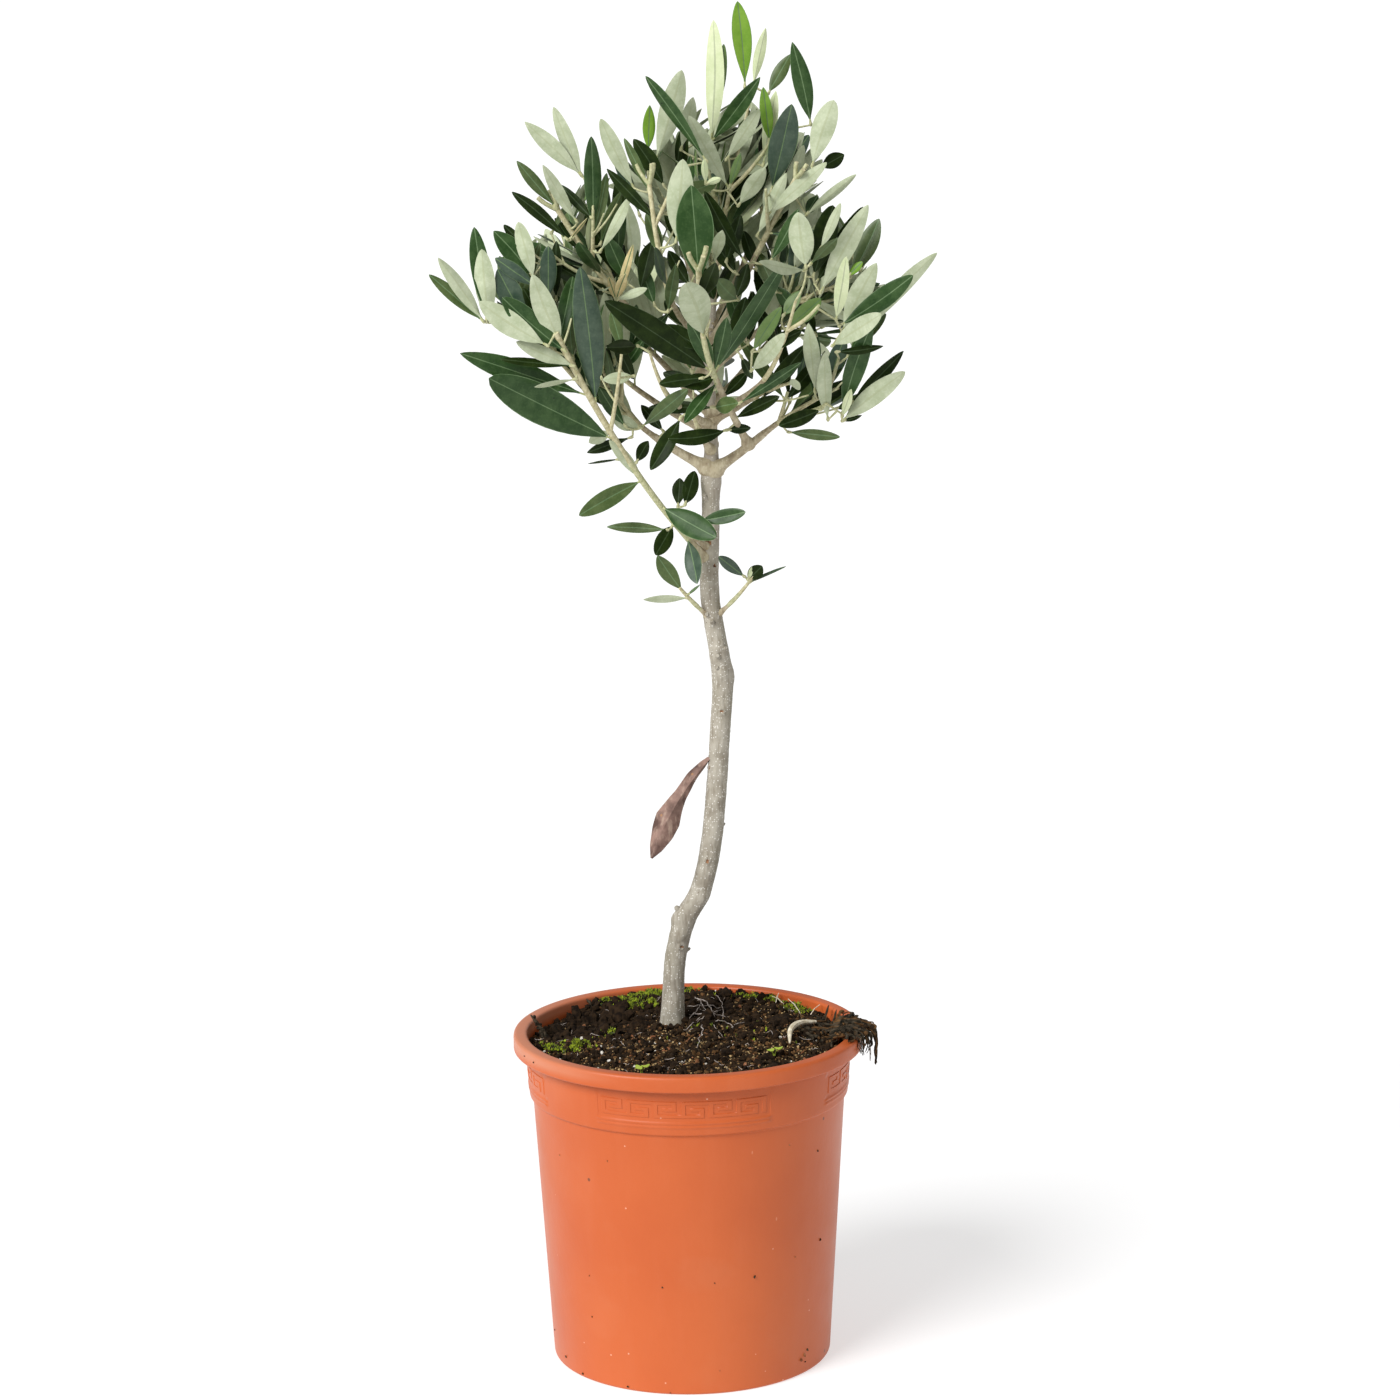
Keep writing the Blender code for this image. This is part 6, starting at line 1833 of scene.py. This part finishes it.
twig_old = earthy("twig_old", (0.3, 0.245, 0.155), (0.46, 0.395, 0.27), 0.8, 600.0)
twig_mid = earthy("twig_mid", (0.43, 0.39, 0.22), (0.6, 0.56, 0.36), 0.7, 600.0)
twig_young = earthy("twig_young", (0.4, 0.41, 0.22), (0.56, 0.55, 0.34), 0.65, 600.0)


def beside(spot, low, high):
    """How far a point is from the length between two others."""
    return (low + (high - low) * nearest_share(spot, low, high) - spot).length


def trimmed(full, girths, feet):
    """A twig cut off a little past the last thing that it carries, or None where it carries nothing."""
    last = -1
    for i in range(len(full) - 1):
        if any(beside(foot, full[i], full[i + 1]) < TRIM_REACH for foot in feet):
            last = i + 1
    return (full[:last + 2], girths[:last + 2]) if last > 0 else (None, None)


def stub(heap, end, ahead, girth, rng):
    """The end of a stem that was cut back: short bare prongs with dry, blunt ends."""
    for number in range(STUB_PRONGS):
        turn = Matrix.Rotation(2 * math.pi * number / STUB_PRONGS + rng.uniform(-0.3, 0.3), 3, ahead)
        aside = turn @ Vector((0, -1, 0)).cross(ahead).normalized()
        reach = STUB_LENGTH * rng.uniform(0.7, 1.1)
        prong = bent_path(end - ahead * 0.001, end + (ahead + aside * 0.9) * reach * 0.5,
                          end + (ahead + aside * 0.55) * reach, 4)
        points, faces = tube(prong, [girth * share for share in (0.95, 0.85, 0.8, 0.85, 0.8)], 8)
        heap.add(points, faces, [2] * (len(faces) - 1) + [1])


def build_twigs():
    """All stems, shoots and sprigs, each set a little way into what carries it."""
    rng = random.Random(64)
    heap = Heap()
    for name, *_ in MASSES:
        twigs, sprigs, leaves = crown[name]
        feet = [placement.translation for placement, *_ in leaves]
        carrying = []
        for path, radii in reversed(sprigs):
            if trimmed(path, radii, feet)[0]:
                carrying.append((path, radii))
                feet.append(path[0])
        for number, (path, radii) in enumerate(twigs + carrying):
            stem = number == 0
            sides = 10 if stem else 8
            full = smooth_path(path, 4)
            swell = TWIG_SWELL if number < len(twigs) else SPRIG_SWELL
            girths = [swell * float(np.interp(i / 4, range(len(radii)), radii)) for i in range(len(full))]
            if stem:
                bark_end = limbs[carrier(name)][1][-1]
                back = (full[0] - full[1]).normalized()
                full = [full[0] + back * 0.0035] + full
                girths = [bark_end * 0.9] + girths
                end_girth = STOUT_STEMS.get(name, 0.0)
                girths = [max(g, bark_end * (1 - 0.09 * i), end_girth) for i, g in enumerate(girths)]
                if name in CUT_BACK:
                    stub(heap, full[-1], (full[-1] - full[-2]).normalized(), end_girth, rng)
                else:
                    more = feet + [path[0] for path, _ in twigs[1:]]
                    full, girths = trimmed(full, girths, more)
            elif number < len(twigs):
                full, girths = trimmed(full, girths, feet)
            if full is None:
                continue
            picks = []
            for i in range(len(full) - 1):
                share = i / (len(full) - 1)
                if number >= len(twigs):
                    tone = 2
                elif name in PALE_STEMS:
                    tone = 2 if stem and share < 0.45 else 1
                elif stem:
                    tone = 0 if share < 0.25 else 1
                else:
                    tone = 1 if share < 0.5 else 2
                picks += [tone] * sides
            points, faces = tube(full, girths, sides)
            heap.add(points, faces, picks + [picks[0], picks[-1]])
    return heap


def build_buds():
    """A small pointed bud above each leaf's foot, with a swollen leaf base beside it."""
    rng = random.Random(71)
    heap = Heap()
    for name, *_ in MASSES:
        for placement, *_ in crown[name][2]:
            root = placement.translation
            out = placement.to_3x3() @ Vector((0, 1, 0))
            upper = placement.to_3x3() @ up(1)
            size = rng.uniform(0.7, 1.2)
            lean = (out * 0.55 + upper * 0.85).normalized()
            bud = [root + lean * BUD_LENGTH * size * t for t in (0.0, 0.4, 0.75, 1.0)]
            heap.add(*tube(bud, [0.0006, 0.0006 * size, 0.0004 * size, 0.0001], 6))
            base = [root + out * reach for reach in (-0.0006, 0.0002, 0.0012, 0.0022)]
            heap.add(*tube(base, [0.0006, 0.0009, 0.0007, 0.00045], 6))
    return heap


twigs = build_twigs().piece("twigs", [twig_old, twig_mid, twig_young], sharp=60.0)
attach(twigs, "root")
buds = build_buds().piece("buds", [twig_young], sharp=60.0)
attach(buds, "root")


# ---- Dead leaf -------------------------------------------------------------------------------------
# One dry leaf still hangs from the trunk. It is mauve-brown and papery, folded along its rib, narrow
# in its upper half, twisted on the way down, with a rusty spot near its stalk.
DEAD_LEAF_HEIGHT = 0.2945
DEAD_LEAF_TIP = Vector((-0.0165, -0.006, 0.249))
DEAD_LEAF_SIDE = Vector((-0.86, -0.5, 0.0))
DEAD_LEAF_BOW = Vector((-0.0045, -0.002, 0.004))
DEAD_LEAF_WIDTHS = ((0.0, 0.0022), (0.06, 0.0042), (0.2, 0.0064), (0.4, 0.0078), (0.52, 0.011),
                    (0.64, 0.015), (0.76, 0.0132), (0.9, 0.008), (1.0, 0.001))
DEAD_LEAF_ROWS = 44
DEAD_LEAF_COLUMNS = (-1.0, -0.78, -0.42, 0.0, 0.42, 0.78, 1.0)
DEAD_LEAF_THICKNESS = 0.00045
DEAD_LEAF_TWIST = (math.radians(20.0), math.radians(60.0))


def build_dead_leaf():
    """The folded blade as a thin closed skin along a bowed spine."""
    axis = axis_point(limbs["trunk"][0], DEAD_LEAF_HEIGHT)
    side = DEAD_LEAF_SIDE.normalized()
    start = axis + side * (trunk_girth(DEAD_LEAF_HEIGHT) - 0.0004)
    spine = bent_path(start, start.lerp(DEAD_LEAF_TIP, 0.5) + DEAD_LEAF_BOW, DEAD_LEAF_TIP, DEAD_LEAF_ROWS)
    ahead = (DEAD_LEAF_TIP - start).normalized()
    shares, widths = zip(*DEAD_LEAF_WIDTHS)
    points = []
    for i, spot in enumerate(spine):
        t = i / DEAD_LEAF_ROWS
        twist = Matrix.Rotation(DEAD_LEAF_TWIST[0] + DEAD_LEAF_TWIST[1] * t, 3, ahead)
        wide = twist @ side.orthogonal().cross(ahead).normalized()
        fold = wide.cross(ahead)
        half = 0.5 * float(np.interp(t, shares, widths))
        shut = 0.95 - 0.55 * t
        skin = []
        for u in DEAD_LEAF_COLUMNS:
            ripple = 0.00045 * noise.noise(Vector((u * 1.3, t * 9.0, 4.0)))
            ripple += 0.0003 * math.sin(22 * t + 3 * u)
            rise = shut * abs(u) ** 1.2 * half * (1.1 if u < 0 else 0.8) + ripple * abs(u)
            skin.append((spot + wide * (u * half * (1 - 0.25 * shut)) + fold * rise, fold))
        points += [point + outward * 0.5 * DEAD_LEAF_THICKNESS for point, outward in skin]
        points += [point - outward * 0.5 * DEAD_LEAF_THICKNESS for point, outward in reversed(skin)]
    return points, skin_faces(DEAD_LEAF_ROWS + 1, 2 * len(DEAD_LEAF_COLUMNS))


papery = Finish("dead_leaf", Roughness=0.7, Specular_IOR_Level=0.35)
here = papery.place
veins = here.stretched(1.0, 1.0, 0.35).clouds(420.0, 4.0)
colour = here.clouds(130.0, 4.0).above(0.36, 0.28).mixed((0.085, 0.045, 0.034), (0.27, 0.165, 0.13))
colour = (veins.above(0.52, 0.16) * 0.6).mixed(colour, (0.4, 0.29, 0.225))
colour = (here.specks(260.0, 0.24, 0.16) * 0.5).mixed(colour, (0.42, 0.21, 0.07))
papery.paint(colour)
papery.relief(veins + here.clouds(1100.0, 3.0) * 0.5, 0.0003, 0.8)

dead_leaf = make_piece("dead_leaf_blade", *build_dead_leaf(), [papery], sharp=50.0)
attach(dead_leaf, "root")
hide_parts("dead_leaf")
